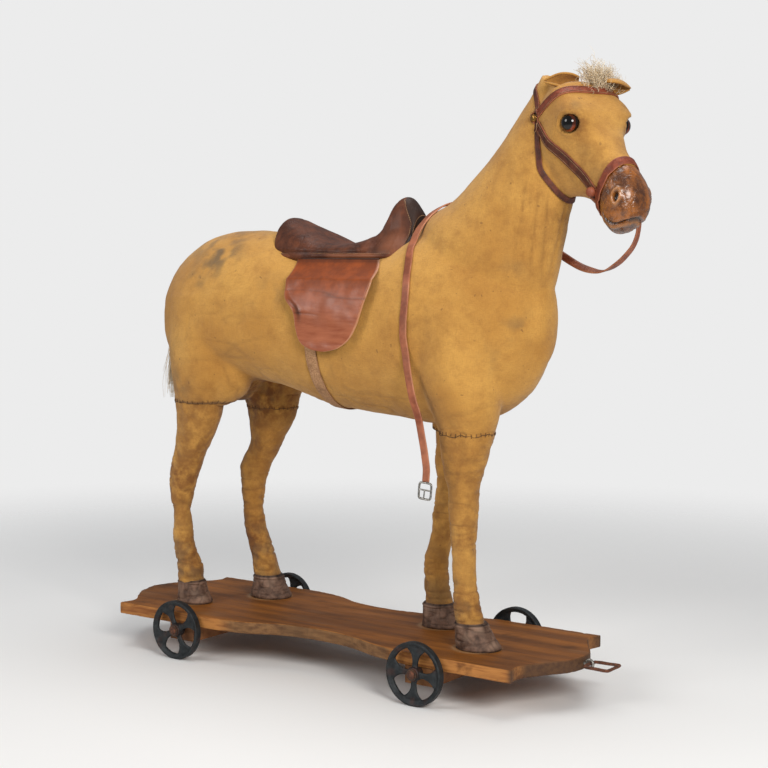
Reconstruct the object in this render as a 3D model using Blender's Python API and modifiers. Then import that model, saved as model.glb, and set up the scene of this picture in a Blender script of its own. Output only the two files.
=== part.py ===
"""A horse pull toy: a stuffed cloth horse with a saddle and bridle, bolted to a
waisted board on four cast-iron wheels, with a pull link at the front.

Metres, +Z up. +X is the way that the horse faces and +Y is its left side. The floor
is at z = 0, and the origin is under the middle of the toy's length and width.
"""

import math

import bmesh
import bpy
from mathutils import Matrix, Vector

CLEARANCE = 0.0003  # between faces that touch on the real toy
CLOTH_GAP = 0.0005  # between stuffed forms, and round what is buried in them

# Wheels and axles
WHEEL_RADIUS = 0.0476
WHEEL_STEPS = 20
RIM_WIDTH = 0.012
RIM_DEPTH = 0.0075
WEB_THICKNESS = 0.0045
HUB_RADIUS = 0.0105
HUB_LENGTH = 0.0155
SPOKES = 4
WHEELBASE = 0.4612
AXLE_RADIUS = 0.004
RUNNING_GAP = 0.0003
AXLE_HEAD_RADIUS = 0.0062
AXLE_HEAD_HEIGHT = 0.003
WASHER_RADIUS = 0.0085
WASHER_THICKNESS = 0.0015

# Board and axle blocks
BOARD_THICKNESS = 0.0189
BOARD_WIDTH = 0.2695
WHEEL_GAP = 0.00475  # from the board's side to a rim
WAIST_WIDTH = 0.194
FRONT_CORNER = 0.3848  # from the middle of the wheelbase
REAR_CORNER = 0.3660
END_BULGE = 0.043
END_SCOOP = 0.004
AXLE_DEPTH = 0.0071  # of the axle's middle below the board
BLOCK_WIDTH = 0.050
BLOCK_HEIGHT = 0.0257
BLOCK_END_GAP = 0.004  # from a block's end to the hub
SCREW_RADIUS = 0.0021
SCREW_HEAD_RADIUS = 0.0042
SCREW_BITE = 0.012  # into the board
SCREW_SIDE = 0.085
SCREW_OFFSET = 0.015  # from the axle's middle

# Pull link
EYE_RADIUS = 0.0058
EYE_WIRE = 0.0022
EYE_SHANK = 0.030
LINK_LENGTH = 0.043
LINK_ROOT_WIDTH = 0.036
LINK_TIP_WIDTH = 0.040
LINK_BAR = 0.0024

# Horse: heights are above the board
HOOF_HEIGHT = 0.037
ROD_RADIUS = 0.004
NUT_RADIUS = 0.0075
NUT_HEIGHT = 0.0065
ROD_TAIL = 0.002  # of a rod beyond its nut
PLANK_THICKNESS = 0.025
PLANK_LENGTH = 0.470
PLANK_BOTTOM = 0.430
PLANK_TOP = 0.520
POST_RADIUS = 0.011

# Head: its own frame has X from poll to muzzle, Y to the horse's left and Z out of
# the forehead
POLL = (0.397, -0.006, 0.788)
HEAD_TURN = math.radians(22)
HEAD_NOD = math.radians(50)
EYE_BALL = 0.0105
EYE_PLACE = (0.0550, 0.0500, 0.0210)

# Leather
STRAP_WIDTH = 0.0135
STRAP_THICKNESS = 0.0018
STUD_RADIUS = 0.0058
FLAP_THICKNESS = 0.003
FLAP_BEAD = 0.002
FLAP_GAP = 0.0045  # from the barrel, with the girth between
GIRTH_WIDTH = 0.021
GIRTH_THICKNESS = 0.0018
GIRTH_PLACE = 0.008
REIN_WIDTH = 0.0125
REIN_THICKNESS = 0.0026
BUCKLE_LENGTH = 0.024
BUCKLE_WIDTH = 0.021
BUCKLE_WIRE = 0.0016

# The polygon of a wheel stands on a flat side
AXLE_HEIGHT = WHEEL_RADIUS * math.cos(math.pi / WHEEL_STEPS)
BOARD_BOTTOM = AXLE_HEIGHT + AXLE_DEPTH
BOARD_TOP = BOARD_BOTTOM + BOARD_THICKNESS
WHEEL_OUTER_FACE = BOARD_WIDTH / 2 + WHEEL_GAP + RIM_WIDTH
HUB_INNER_FACE = WHEEL_OUTER_FACE + 0.001 - HUB_LENGTH
HUB_OUTER_FACE = WHEEL_OUTER_FACE + 0.001
FRONT_TIP = FRONT_CORNER + END_BULGE
# How far the link's bar lies from the eye's middle: near the wire that carries it
LINK_REST = EYE_RADIUS * math.cos(math.pi / 12) - EYE_WIRE - LINK_BAR - CLEARANCE

SIDES = {"right": -1, "left": 1}
ENDS = {"front": 1, "rear": -1}

# Each foot: place on the board, radius of the hoof, place of the rod through the board
FEET = {
    "front_right": ((0.2750, -0.0485), 0.0317, (0.2750, -0.0485)),
    "front_left": ((0.1518, 0.0416), 0.0290, (0.1518, 0.0416)),
    "rear_right": ((-0.2747, -0.0567), 0.0275, (-0.2747, -0.0567)),
    "rear_left": ((-0.2017, 0.0553), 0.0327, (-0.1900, 0.0553)),
}

# Each lower leg, from its hoof up: height, x, y, half length along X, half width
LEGS = {
    "front_right": (
        (0.033, 0.2655, -0.0485, 0.0225, 0.0215),
        (0.060, 0.2585, -0.0485, 0.0205, 0.0195),
        (0.115, 0.2525, -0.0485, 0.0172, 0.0172),
        (0.185, 0.2505, -0.0485, 0.0210, 0.0202),
        (0.250, 0.2488, -0.0480, 0.0280, 0.0260),
        (0.290, 0.2515, -0.0475, 0.0380, 0.0340),
        (0.335, 0.2540, -0.0470, 0.0440, 0.0385),
    ),
    "front_left": (
        (0.033, 0.1500, 0.0416, 0.0215, 0.0205),
        (0.060, 0.1470, 0.0417, 0.0203, 0.0193),
        (0.095, 0.1445, 0.0420, 0.0195, 0.0185),
        (0.140, 0.1530, 0.0420, 0.0180, 0.0175),
        (0.245, 0.1715, 0.0435, 0.0265, 0.0250),
        (0.290, 0.1800, 0.0440, 0.0360, 0.0330),
        (0.335, 0.1860, 0.0450, 0.0430, 0.0375),
    ),
    "rear_right": (
        (0.033, -0.2780, -0.0567, 0.0205, 0.0205),
        (0.060, -0.2820, -0.0567, 0.0222, 0.0200),
        (0.092, -0.2925, -0.0567, 0.0196, 0.0178),
        (0.145, -0.2978, -0.0567, 0.0158, 0.0154),
        (0.212, -0.2940, -0.0567, 0.0262, 0.0210),
        (0.260, -0.2775, -0.0570, 0.0288, 0.0250),
        (0.300, -0.2660, -0.0575, 0.0370, 0.0315),
        (0.345, -0.2600, -0.0580, 0.0440, 0.0380),
    ),
    "rear_left": (
        (0.033, -0.2040, 0.0553, 0.0225, 0.0215),
        (0.062, -0.2130, 0.0553, 0.0228, 0.0207),
        (0.105, -0.2285, 0.0553, 0.0198, 0.0187),
        (0.158, -0.2375, 0.0553, 0.0184, 0.0178),
        (0.215, -0.2340, 0.0556, 0.0266, 0.0227),
        (0.265, -0.2095, 0.0560, 0.0295, 0.0262),
        (0.300, -0.2000, 0.0565, 0.0400, 0.0335),
        (0.345, -0.1990, 0.0570, 0.0510, 0.0390),
    ),
}

# The top of each leg, part of the body's cloth, from its seam up: as LEGS
LEG_TOPS = {
    "front_right": (
        (0.309, 0.2545, -0.0480, 0.0395, 0.0355),
        (0.341, 0.2520, -0.0493, 0.0512, 0.0434),
        (0.420, 0.2380, -0.0540, 0.0700, 0.0520),
        (0.500, 0.2250, -0.0540, 0.0700, 0.0480),
    ),
    "front_left": (
        (0.309, 0.1800, 0.0450, 0.0390, 0.0355),
        (0.341, 0.1861, 0.0474, 0.0516, 0.0434),
        (0.420, 0.2050, 0.0530, 0.0700, 0.0520),
        (0.500, 0.2100, 0.0530, 0.0700, 0.0480),
    ),
    "rear_right": (
        (0.320, -0.2600, -0.0580, 0.0385, 0.0350),
        (0.353, -0.2505, -0.0592, 0.0517, 0.0443),
        (0.430, -0.2340, -0.0600, 0.0770, 0.0530),
        (0.510, -0.2280, -0.0580, 0.0850, 0.0500),
    ),
    "rear_left": (
        (0.320, -0.2000, 0.0570, 0.0450, 0.0365),
        (0.353, -0.2035, 0.0591, 0.0589, 0.0443),
        (0.430, -0.2150, 0.0600, 0.0790, 0.0530),
        (0.510, -0.2200, 0.0580, 0.0850, 0.0500),
    ),
}

# The body, from rump to chest: x, half width, bottom, height of the widest part, top
BODY = (
    (-0.341, 0.036, 0.405, 0.470, 0.524),
    (-0.321, 0.077, 0.378, 0.470, 0.567),
    (-0.278, 0.102, 0.365, 0.465, 0.599),
    (-0.205, 0.114, 0.372, 0.460, 0.616),
    (-0.115, 0.113, 0.366, 0.460, 0.611),
    (-0.010, 0.109, 0.340, 0.460, 0.583),
    (0.100, 0.107, 0.330, 0.460, 0.591),
    (0.200, 0.104, 0.324, 0.465, 0.625),
    (0.280, 0.091, 0.341, 0.470, 0.605),
    (0.328, 0.062, 0.375, 0.475, 0.569),
    (0.353, 0.027, 0.425, 0.475, 0.533),
)

# The neck, from the shoulders to the poll: x and height of its crest, x and height of
# its throat side, half width
NECK = (
    (0.130, 0.560, 0.322, 0.478, 0.070),
    (0.158, 0.632, 0.359, 0.528, 0.074),
    (0.200, 0.656, 0.375, 0.590, 0.062),
    (0.246, 0.700, 0.389, 0.645, 0.053),
    (0.290, 0.750, 0.401, 0.694, 0.047),
    (0.324, 0.796, 0.411, 0.736, 0.043),
    (0.348, 0.838, 0.424, 0.780, 0.038),
)

# The head and muzzle in the head's frame: x, half width, bottom, widest, top, and how
# square the upper half is, where 1 is an oval
HEAD = (
    (-0.030, 0.026, -0.026, -0.002, 0.020, 1.0),
    (-0.012, 0.045, -0.055, 0.002, 0.038, 0.8),
    (0.012, 0.055, -0.074, 0.006, 0.044, 0.5),
    (0.038, 0.058, -0.082, 0.008, 0.044, 0.42),
    (0.066, 0.048, -0.090, 0.006, 0.040, 0.65),
    (0.092, 0.036, -0.087, 0.002, 0.037, 0.8),
    (0.118, 0.028, -0.060, 0.002, 0.036, 0.8),
    (0.140, 0.028, -0.044, 0.003, 0.038, 0.8),
    (0.149, 0.0275, -0.040, 0.003, 0.037, 0.8),
)
MUZZLE = (
    (0.132, 0.0245, -0.035, 0.004, 0.0335, 0.8),
    (0.150, 0.0288, -0.038, 0.003, 0.0374, 0.8),
    (0.172, 0.0320, -0.040, 0.002, 0.0360, 0.8),
    (0.190, 0.0310, -0.042, 0.000, 0.0310, 0.8),
    (0.204, 0.0260, -0.038, -0.004, 0.0200, 0.8),
    (0.212, 0.0140, -0.027, -0.008, 0.0060, 0.8),
)
NOSTRIL = (0.189, 0.0145)
NOSTRIL_RADIUS = 0.0045

# Each ear in the head's frame: root, tip, way that it opens, half width
EARS = {
    "right": ((-0.016, -0.014, 0.042), (-0.018, -0.058, 0.027), (0.5, 0, 0.85), 0.0125),
    "left": ((0.000, 0.018, 0.050), (0.007, 0.064, 0.052), (0.95, 0, -0.1), 0.0125),
}
EAR_THICKNESS = 0.0024

# The tuft of hair between the ears, in the head's frame: height, x, y, half sizes
FORELOCK = (
    (0.034, 0.002, 0.010, 0.012, 0.024),
    (0.048, -0.004, 0.014, 0.014, 0.034),
    (0.062, -0.012, 0.014, 0.010, 0.026),
    (0.070, -0.020, 0.012, 0.005, 0.012),
)

# What is left of the tail: x, height, radius
TAIL = (
    (-0.320, 0.455, 0.006),
    (-0.348, 0.440, 0.007),
    (-0.366, 0.415, 0.008),
    (-0.371, 0.380, 0.007),
    (-0.370, 0.350, 0.005),
    (-0.366, 0.325, 0.003),
)

# Where the bridle's straps pass on the middle plane: the throat strap in the horse's
# frame, x and height, and the others in the head's
THROAT_STRAP = ((0.3585, 0.851), (0.3665, 0.698), (0.393, 0.655))
NOSEBAND = ((0.1355, 0.043), (0.1685, -0.040))
BROW_STRAP = ((0.003, -0.042), (0.0125, 0.039))
CHEEK_STRAP = ((0.003, -0.042), (0.1545, -0.0188))
CHEEK_STUD = (0.146, -0.0195)

# The saddle, from cantle to pommel: x, half width, height of its rim, height on the
# middle line
SADDLE = (
    (-0.126, 0.030, 0.590, 0.620),
    (-0.108, 0.052, 0.581, 0.637),
    (-0.072, 0.060, 0.576, 0.624),
    (0.000, 0.060, 0.575, 0.594),
    (0.067, 0.060, 0.575, 0.618),
    (0.097, 0.056, 0.576, 0.658),
    (0.119, 0.048, 0.582, 0.667),
    (0.133, 0.039, 0.591, 0.652),
    (0.139, 0.030, 0.602, 0.632),
)
RIM_RADIUS = 0.005
RIM_HEIGHT = 0.576
RIM_SIDE = 0.0630
RIM_REACH = (-0.078, 0.128)

# The outline of a saddle flap: x, height
FLAP = (
    (-0.048, 0.5695),
    (-0.041, 0.530),
    (-0.038, 0.516),
    (-0.014, 0.490),
    (-0.012, 0.466),
    (-0.004, 0.446),
    (0.020, 0.434),
    (0.044, 0.431),
    (0.070, 0.437),
    (0.090, 0.452),
    (0.102, 0.490),
    (0.101, 0.5695),
)
FLAP_SIDE = 0.0675  # of the flap's bead, from the middle

# The flap's bead hangs against the saddle's rim
BEAD_REACH = RIM_RADIUS + FLAP_BEAD + CLEARANCE
FLAP_TOP = RIM_HEIGHT - math.sqrt(BEAD_REACH**2 - (FLAP_SIDE - RIM_SIDE) ** 2)

# The rein's route from the mouth, round the far side of the neck, over the withers and
# down before the near shoulder: x, y, height, and the way that its flat side faces
REIN = (
    (0.509, -0.014, 0.632, 1, 0, 0),
    (0.503, -0.006, 0.611, 1, 0, 0),
    (0.493, 0.004, 0.595, 0.7, 0, -0.7),
    (0.477, 0.014, 0.580, 0.3, 0, -1),
    (0.453, 0.028, 0.565, 0, 0, -1),
    (0.422, 0.044, 0.555, 0, 0.3, -1),
    (0.385, 0.057, 0.560, 0, 0.7, -0.7),
    (0.343, 0.063, 0.580, 0, 1, -0.3),
    (0.298, 0.067, 0.605, 0, 1, 0.2),
    (0.251, 0.062, 0.632, 0, 1, 0.5),
    (0.211, 0.038, 0.651, -0.3, 0.6, 1),
    (0.192, 0.009, 0.655, -0.4, 0.2, 1),
    (0.183, -0.018, 0.648, -0.4, -0.4, 1),
    (0.172, -0.034, 0.633, -0.3, -0.7, 1),
    (0.163, -0.046, 0.614, -0.1, -0.9, 0.8),
    (0.161, -0.058, 0.592, 0, -0.9, 0.6),
    (0.169, -0.077, 0.567, 0, -0.9, 0.5),
    (0.175, -0.091, 0.540, 0, -1, 0.3),
    (0.179, -0.101, 0.511, 0, -1, 0.1),
    (0.179, -0.104, 0.482, 0, -1, 0),
    (0.180, -0.105, 0.450, 0, -1, 0),
    (0.185, -0.107, 0.421, 0, -1, 0),
    (0.191, -0.109, 0.395, 0, -1, 0),
    (0.199, -0.110, 0.367, 0, -1, 0),
    (0.209, -0.110, 0.341, 0, -1, 0),
    (0.215, -0.110, 0.315, 0, -1, 0),
    (0.221, -0.110, 0.286, 0, -1, 0),
    (0.224, -0.110, 0.266, 0, -1, 0),
    (0.223, -0.110, 0.249, 0, -1, 0),
)
REIN_POINTS = 46


def named_collection(name):
    made = bpy.data.collections.new(name)
    bpy.context.scene.collection.children.link(made)
    return made


def clear_scene():
    for item in list(bpy.data.objects):
        bpy.data.objects.remove(item, do_unlink=True)


def material(name, colour, roughness, metallic=0.0):
    made = bpy.data.materials.get(name)
    if made is None:
        made = bpy.data.materials.new(name)
        made.use_nodes = True
        shader = made.node_tree.nodes["Principled BSDF"]
        shader.inputs["Base Color"].default_value = (*colour, 1.0)
        shader.inputs["Roughness"].default_value = roughness
        shader.inputs["Metallic"].default_value = metallic
        made.diffuse_color = (*colour, 1.0)
    return made


def look(kind):
    """The material of one kind of thing on the toy."""
    looks = {
        "cloth": ((0.56, 0.31, 0.09), 0.95, 0.0),
        "muzzle": ((0.22, 0.07, 0.02), 0.35, 0.0),
        "hoof": ((0.13, 0.09, 0.07), 0.8, 0.0),
        "leather": ((0.20, 0.06, 0.03), 0.5, 0.0),
        "flap": ((0.26, 0.08, 0.03), 0.35, 0.0),
        "webbing": ((0.42, 0.26, 0.13), 0.95, 0.0),
        "board": ((0.27, 0.10, 0.025), 0.5, 0.0),
        "wood": ((0.36, 0.17, 0.05), 0.7, 0.0),
        "iron": ((0.03, 0.035, 0.04), 0.55, 0.7),
        "rust": ((0.20, 0.07, 0.03), 0.85, 0.5),
        "steel": ((0.35, 0.34, 0.33), 0.35, 1.0),
        "brass": ((0.42, 0.28, 0.10), 0.35, 1.0),
        "glass": ((0.02, 0.008, 0.004), 0.05, 0.0),
        "hair": ((0.55, 0.45, 0.32), 0.8, 0.0),
    }
    return material(kind, *looks[kind])


def finish(item, kind, parent=None):
    """Gives a piece its material and its place among the parts."""
    item.data.materials.clear()
    item.data.materials.append(look(kind))
    if item.name not in PARTS.objects:
        for holder in list(item.users_collection):
            holder.objects.unlink(item)
        PARTS.objects.link(item)
    if parent is not None:
        item.parent = parent
    return item


def as_helper(item):
    """Makes an object a cutter: hidden, and in the cutters' collection."""
    for holder in list(item.users_collection):
        holder.objects.unlink(item)
    CUTTERS.objects.link(item)
    item.hide_render = True
    item.display_type = "WIRE"
    return item


def mesh_object(name, mesh_edit, smooth=True):
    mesh_edit.normal_update()
    mesh = bpy.data.meshes.new(name)
    mesh_edit.to_mesh(mesh)
    mesh_edit.free()
    made = bpy.data.objects.new(name, mesh)
    CUTTERS.objects.link(made)
    if smooth:
        mesh.shade_smooth()
        mesh.set_sharp_from_angle(angle=math.radians(40))
    return made


def evaluated_mesh(item):
    bpy.context.view_layer.update()
    graph = bpy.context.evaluated_depsgraph_get()
    return bpy.data.meshes.new_from_object(item.evaluated_get(graph))


def as_mesh(curve):
    """The mesh of a curve object, closed where its caps meet its sides."""
    mesh = evaluated_mesh(curve)
    edit = bmesh.new()
    edit.from_mesh(mesh)
    bmesh.ops.remove_doubles(edit, verts=edit.verts, dist=1e-6)
    edit.to_mesh(mesh)
    edit.free()
    made = bpy.data.objects.new(curve.name, mesh)
    name = curve.name
    made.matrix_world = curve.matrix_world
    bpy.data.objects.remove(curve, do_unlink=True)
    made.name = name
    CUTTERS.objects.link(made)
    return made


def box(name, size, centre):
    edit = bmesh.new()
    bmesh.ops.create_cube(edit, size=1.0)
    bmesh.ops.scale(edit, vec=Vector(size), verts=edit.verts)
    bmesh.ops.translate(edit, vec=Vector(centre), verts=edit.verts)
    return mesh_object(name, edit, smooth=False)


def rod(name, radius, start, end, sides=16, end_radius=None):
    """A straight round bar between two points."""
    start, end = Vector(start), Vector(end)
    run = end - start
    edit = bmesh.new()
    bmesh.ops.create_cone(
        edit,
        cap_ends=True,
        segments=sides,
        radius1=radius,
        radius2=radius if end_radius is None else end_radius,
        depth=run.length,
    )
    turn = run.to_track_quat("Z", "Y").to_matrix().to_4x4()
    place = Matrix.Translation((start + end) / 2) @ turn
    bmesh.ops.transform(edit, matrix=place, verts=edit.verts)
    return mesh_object(name, edit)


def ball(name, radius, centre, rings=6, sides=10):
    edit = bmesh.new()
    bmesh.ops.create_uvsphere(edit, u_segments=sides, v_segments=rings, radius=radius)
    bmesh.ops.translate(edit, vec=Vector(centre), verts=edit.verts)
    return mesh_object(name, edit)


def turned(name, profile, steps, axis="Y"):
    """A shape turned about an axis, from (radius, place along the axis) points."""
    edit = bmesh.new()
    points = [edit.verts.new((radius, 0.0, along)) for radius, along in profile]
    for first, second in zip(points, points[1:]):
        edit.edges.new((first, second))
    bmesh.ops.spin(
        edit,
        geom=edit.verts[:] + edit.edges[:],
        cent=(0, 0, 0),
        axis=(0, 0, 1),
        angle=2 * math.pi,
        steps=steps,
        use_merge=True,
    )
    bmesh.ops.remove_doubles(edit, verts=edit.verts, dist=1e-6)
    turn = Matrix.Rotation(math.radians(-90), 4, "X") if axis == "Y" else Matrix()
    bmesh.ops.transform(edit, matrix=turn, verts=edit.verts)
    bmesh.ops.recalc_face_normals(edit, faces=edit.faces)
    return mesh_object(name, edit)


def tube(name, points, radius, sides=8, cyclic=False, radii=None):
    """A round wire along points."""
    curve = bpy.data.curves.new(name, "CURVE")
    curve.dimensions = "3D"
    curve.bevel_depth = radius
    curve.bevel_resolution = (sides - 4) // 2
    curve.use_fill_caps = True
    spline = curve.splines.new("POLY")
    spline.points.add(len(points) - 1)
    for index, point in enumerate(points):
        spline.points[index].co = (*point, 1.0)
        if radii is not None:
            spline.points[index].radius = radii[index]
    spline.use_cyclic_u = cyclic
    made = bpy.data.objects.new(name, curve)
    CUTTERS.objects.link(made)
    return made


def plate(name, outlines, thickness, resolution=8):
    """A flat plate in XY from closed Bezier outlines, each a list of (x, y, is_corner)."""
    curve = bpy.data.curves.new(name, "CURVE")
    curve.dimensions = "2D"
    curve.fill_mode = "BOTH"
    curve.extrude = thickness / 2
    curve.resolution_u = resolution
    for outline in outlines:
        spline = curve.splines.new("BEZIER")
        spline.bezier_points.add(len(outline) - 1)
        for knot, (x, y, is_corner) in zip(spline.bezier_points, outline):
            knot.co = (x, y, 0)
            knot.handle_left_type = knot.handle_right_type = (
                "VECTOR" if is_corner else "AUTO"
            )
        spline.use_cyclic_u = True
    made = bpy.data.objects.new(name, curve)
    CUTTERS.objects.link(made)
    return as_mesh(made)


def smooth_path(knots, count):
    """Points at equal distances along a smooth curve through the knots."""
    knots = [Vector(knot) for knot in knots]
    ends = [2 * knots[0] - knots[1], *knots, 2 * knots[-1] - knots[-2]]
    fine = []
    for before, a, b, after in zip(ends, ends[1:], ends[2:], ends[3:]):
        for step in range(12):
            t = step / 12
            fine.append(
                0.5
                * (
                    2 * a
                    + (b - before) * t
                    + (2 * before - 5 * a + 4 * b - after) * t**2
                    + (3 * a - before - 3 * b + after) * t**3
                )
            )
    fine.append(knots[-1])
    along = [0.0]
    for first, second in zip(fine, fine[1:]):
        along.append(along[-1] + (second - first).length)
    found = []
    index = 0
    for step in range(count):
        target = along[-1] * step / (count - 1)
        while index < len(fine) - 2 and along[index + 1] < target:
            index += 1
        share = (target - along[index]) / (along[index + 1] - along[index])
        found.append(fine[index].lerp(fine[index + 1], min(share, 1.0)))
    return found


def loft(name, rings, levels=1):
    """A soft closed form: a cage of rings, rounded by subdivision."""
    edit = bmesh.new()
    loops = [[edit.verts.new(point) for point in ring] for ring in rings]
    count = len(loops[0])
    for lower, upper in zip(loops, loops[1:]):
        for k in range(count):
            after = (k + 1) % count
            edit.faces.new((lower[k], lower[after], upper[after], upper[k]))
    edit.faces.new(loops[0][::-1])
    edit.faces.new(loops[-1])
    bmesh.ops.recalc_face_normals(edit, faces=edit.faces)
    made = mesh_object(name, edit)
    rounding = made.modifiers.new("rounding", "SUBSURF")
    rounding.levels = levels
    rounding.render_levels = levels
    return made


def cage_growth(count):
    """How much larger a cage of that many sides is than its subdivided form."""
    return 8 / (6 + 2 * math.cos(2 * math.pi / count))


def level_ring(x, y, height, half_length, half_width, count=6):
    """A level oval ring, for a limb that stands."""
    grow = cage_growth(count)
    return [
        (
            x + grow * half_length * math.cos(2 * math.pi * (k + 0.5) / count),
            y + grow * half_width * math.sin(2 * math.pi * (k + 0.5) / count),
            height,
        )
        for k in range(count)
    ]


def upright_ring(x, half_width, bottom, widest, top, squareness=1.0, count=10):
    """An egg-shaped ring across X, for the body and the head, squarer above."""
    grow = cage_growth(count)
    ring = []
    for k in range(count):
        angle = 2 * math.pi * (k + 0.5) / count
        power = squareness if math.sin(angle) > 0 else 1.0
        across = math.copysign(abs(math.cos(angle)) ** power, math.cos(angle))
        rise = math.copysign(abs(math.sin(angle)) ** power, math.sin(angle))
        reach = top - widest if rise > 0 else widest - bottom
        ring.append((x, grow * half_width * across, widest + grow * reach * rise))
    return ring


def neck_ring(crest_x, crest_z, throat_x, throat_z, half_width, count=10):
    grow = cage_growth(count)
    crest, throat = Vector((crest_x, 0, crest_z)), Vector((throat_x, 0, throat_z))
    middle, half = (crest + throat) / 2, (crest - throat) / 2
    side = Vector((0, half_width, 0))
    return [
        middle
        + grow * half * math.sin(2 * math.pi * k / count)
        + grow * side * math.cos(2 * math.pi * k / count)
        for k in range(count)
    ]


def combine(item, other, operation):
    change = item.modifiers.new(operation.lower(), "BOOLEAN")
    change.operation = operation
    change.object = as_helper(other)
    return item


def cut(item, *others):
    for other in others:
        combine(item, other, "DIFFERENCE")
    return item


def join(item, *others):
    for other in others:
        combine(item, other, "UNION")
    return item


def grown(item, by, name):
    """A copy of an object's shape as it is now, with its skin moved out."""
    mesh = evaluated_mesh(item)
    made = bpy.data.objects.new(name, mesh)
    made.matrix_world = item.matrix_world
    normals = [point.normal.copy() for point in mesh.vertices]
    for point, normal in zip(mesh.vertices, normals):
        point.co += normal * by
    return as_helper_new(made)


def as_helper_new(item):
    CUTTERS.objects.link(item)
    item.hide_render = True
    item.display_type = "WIRE"
    return item


def settled(item):
    """The object with its modifiers made part of its mesh."""
    mesh = evaluated_mesh(item)
    item.modifiers.clear()
    item.data = mesh
    return item


def in_triangles(item):
    """Splits a settled form's faces, so that grown copies of it bend where it does."""
    edit = bmesh.new()
    edit.from_mesh(item.data)
    bmesh.ops.triangulate(edit, faces=edit.faces)
    edit.to_mesh(item.data)
    edit.free()
    return item


def without_scraps(item):
    """Keeps only the largest of an object's separate pieces."""
    edit = bmesh.new()
    edit.from_mesh(item.data)
    groups = []
    left = set(edit.verts)
    while left:
        reached = [left.pop()]
        group = set(reached)
        while reached:
            point = reached.pop()
            for edge in point.link_edges:
                other = edge.other_vert(point)
                if other in left:
                    left.remove(other)
                    group.add(other)
                    reached.append(other)
        groups.append(group)
    groups.sort(key=len)
    for group in groups[:-1]:
        bmesh.ops.delete(edit, geom=list(group), context="VERTS")
    edit.to_mesh(item.data)
    edit.free()
    return item


def empty(name, place, parent=None):
    made = bpy.data.objects.new(name, None)
    PARTS.objects.link(made)
    made.location = place
    made.parent = parent
    return made


def copy_of(item, name):
    made = item.copy()
    made.data = item.data.copy()
    made.name = name
    return as_helper_new(made)


def wheel_shape(side):
    """One cast wheel about its own middle: rim, web and hub in one turned profile."""
    middle = WHEEL_OUTER_FACE - RIM_WIDTH / 2
    rim, web = RIM_WIDTH / 2, WEB_THICKNESS / 2
    inner, outer = HUB_INNER_FACE - middle, HUB_OUTER_FACE - middle
    lip = WHEEL_RADIUS - 0.0028
    seat = WHEEL_RADIUS - RIM_DEPTH
    bore = AXLE_RADIUS + RUNNING_GAP
    profile = (
        (WHEEL_RADIUS, rim),
        (WHEEL_RADIUS, -rim),
        (lip, -rim),
        (seat, -web),
        (HUB_RADIUS, -web),
        (HUB_RADIUS, inner),
        (bore, inner),
        (bore, outer),
        (HUB_RADIUS, outer),
        (HUB_RADIUS, web),
        (seat, web),
        (lip, rim),
        (WHEEL_RADIUS, rim),
    )
    return turned("wheel", [(r, side * along) for r, along in profile], WHEEL_STEPS)


def wheel_opening(middle_angle):
    """The outline of one rounded opening between two spokes."""
    outer = WHEEL_RADIUS - RIM_DEPTH - 0.002
    inner = HUB_RADIUS + 0.0035
    spread = math.radians(31)
    turns = (
        (inner, 0.0),
        (inner + 0.06 * (outer - inner), 0.70 * spread),
        (inner + 0.33 * (outer - inner), 1.00 * spread),
        (inner + 0.66 * (outer - inner), 0.90 * spread),
        (outer - 0.002, 0.60 * spread),
        (outer, 0.0),
        (outer - 0.002, -0.60 * spread),
        (inner + 0.66 * (outer - inner), -0.90 * spread),
        (inner + 0.33 * (outer - inner), -1.00 * spread),
        (inner + 0.06 * (outer - inner), -0.70 * spread),
    )
    return [
        (r * math.cos(middle_angle + a), r * math.sin(middle_angle + a), False)
        for r, a in turns
    ]


def make_wheel(name, side, spin):
    made = wheel_shape(side)
    made.name = name
    for number in range(SPOKES):
        outline = wheel_opening(spin + 2 * math.pi * (number + 0.5) / SPOKES)
        opening = plate(f"{name}_opening_{number}", [outline], 0.02, resolution=2)
        opening.data.transform(Matrix.Rotation(math.radians(90), 4, "X"))
        cut(made, opening)
    settled(made)
    made.data.transform(Matrix.Rotation(math.pi / WHEEL_STEPS, 4, "Y"))
    return finish(made, "iron")


def make_wheels(toy):
    spins = {
        ("front", "right"): math.radians(4),
        ("front", "left"): math.radians(50),
        ("rear", "right"): math.radians(62),
        ("rear", "left"): math.radians(20),
    }
    for end, ahead in ENDS.items():
        for side, sign in SIDES.items():
            made = make_wheel(f"wheel_{end}_{side}", sign, spins[end, side])
            made.parent = toy
            middle = sign * (WHEEL_OUTER_FACE - RIM_WIDTH / 2)
            made.location = (ahead * WHEELBASE / 2, middle, AXLE_HEIGHT)


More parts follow.
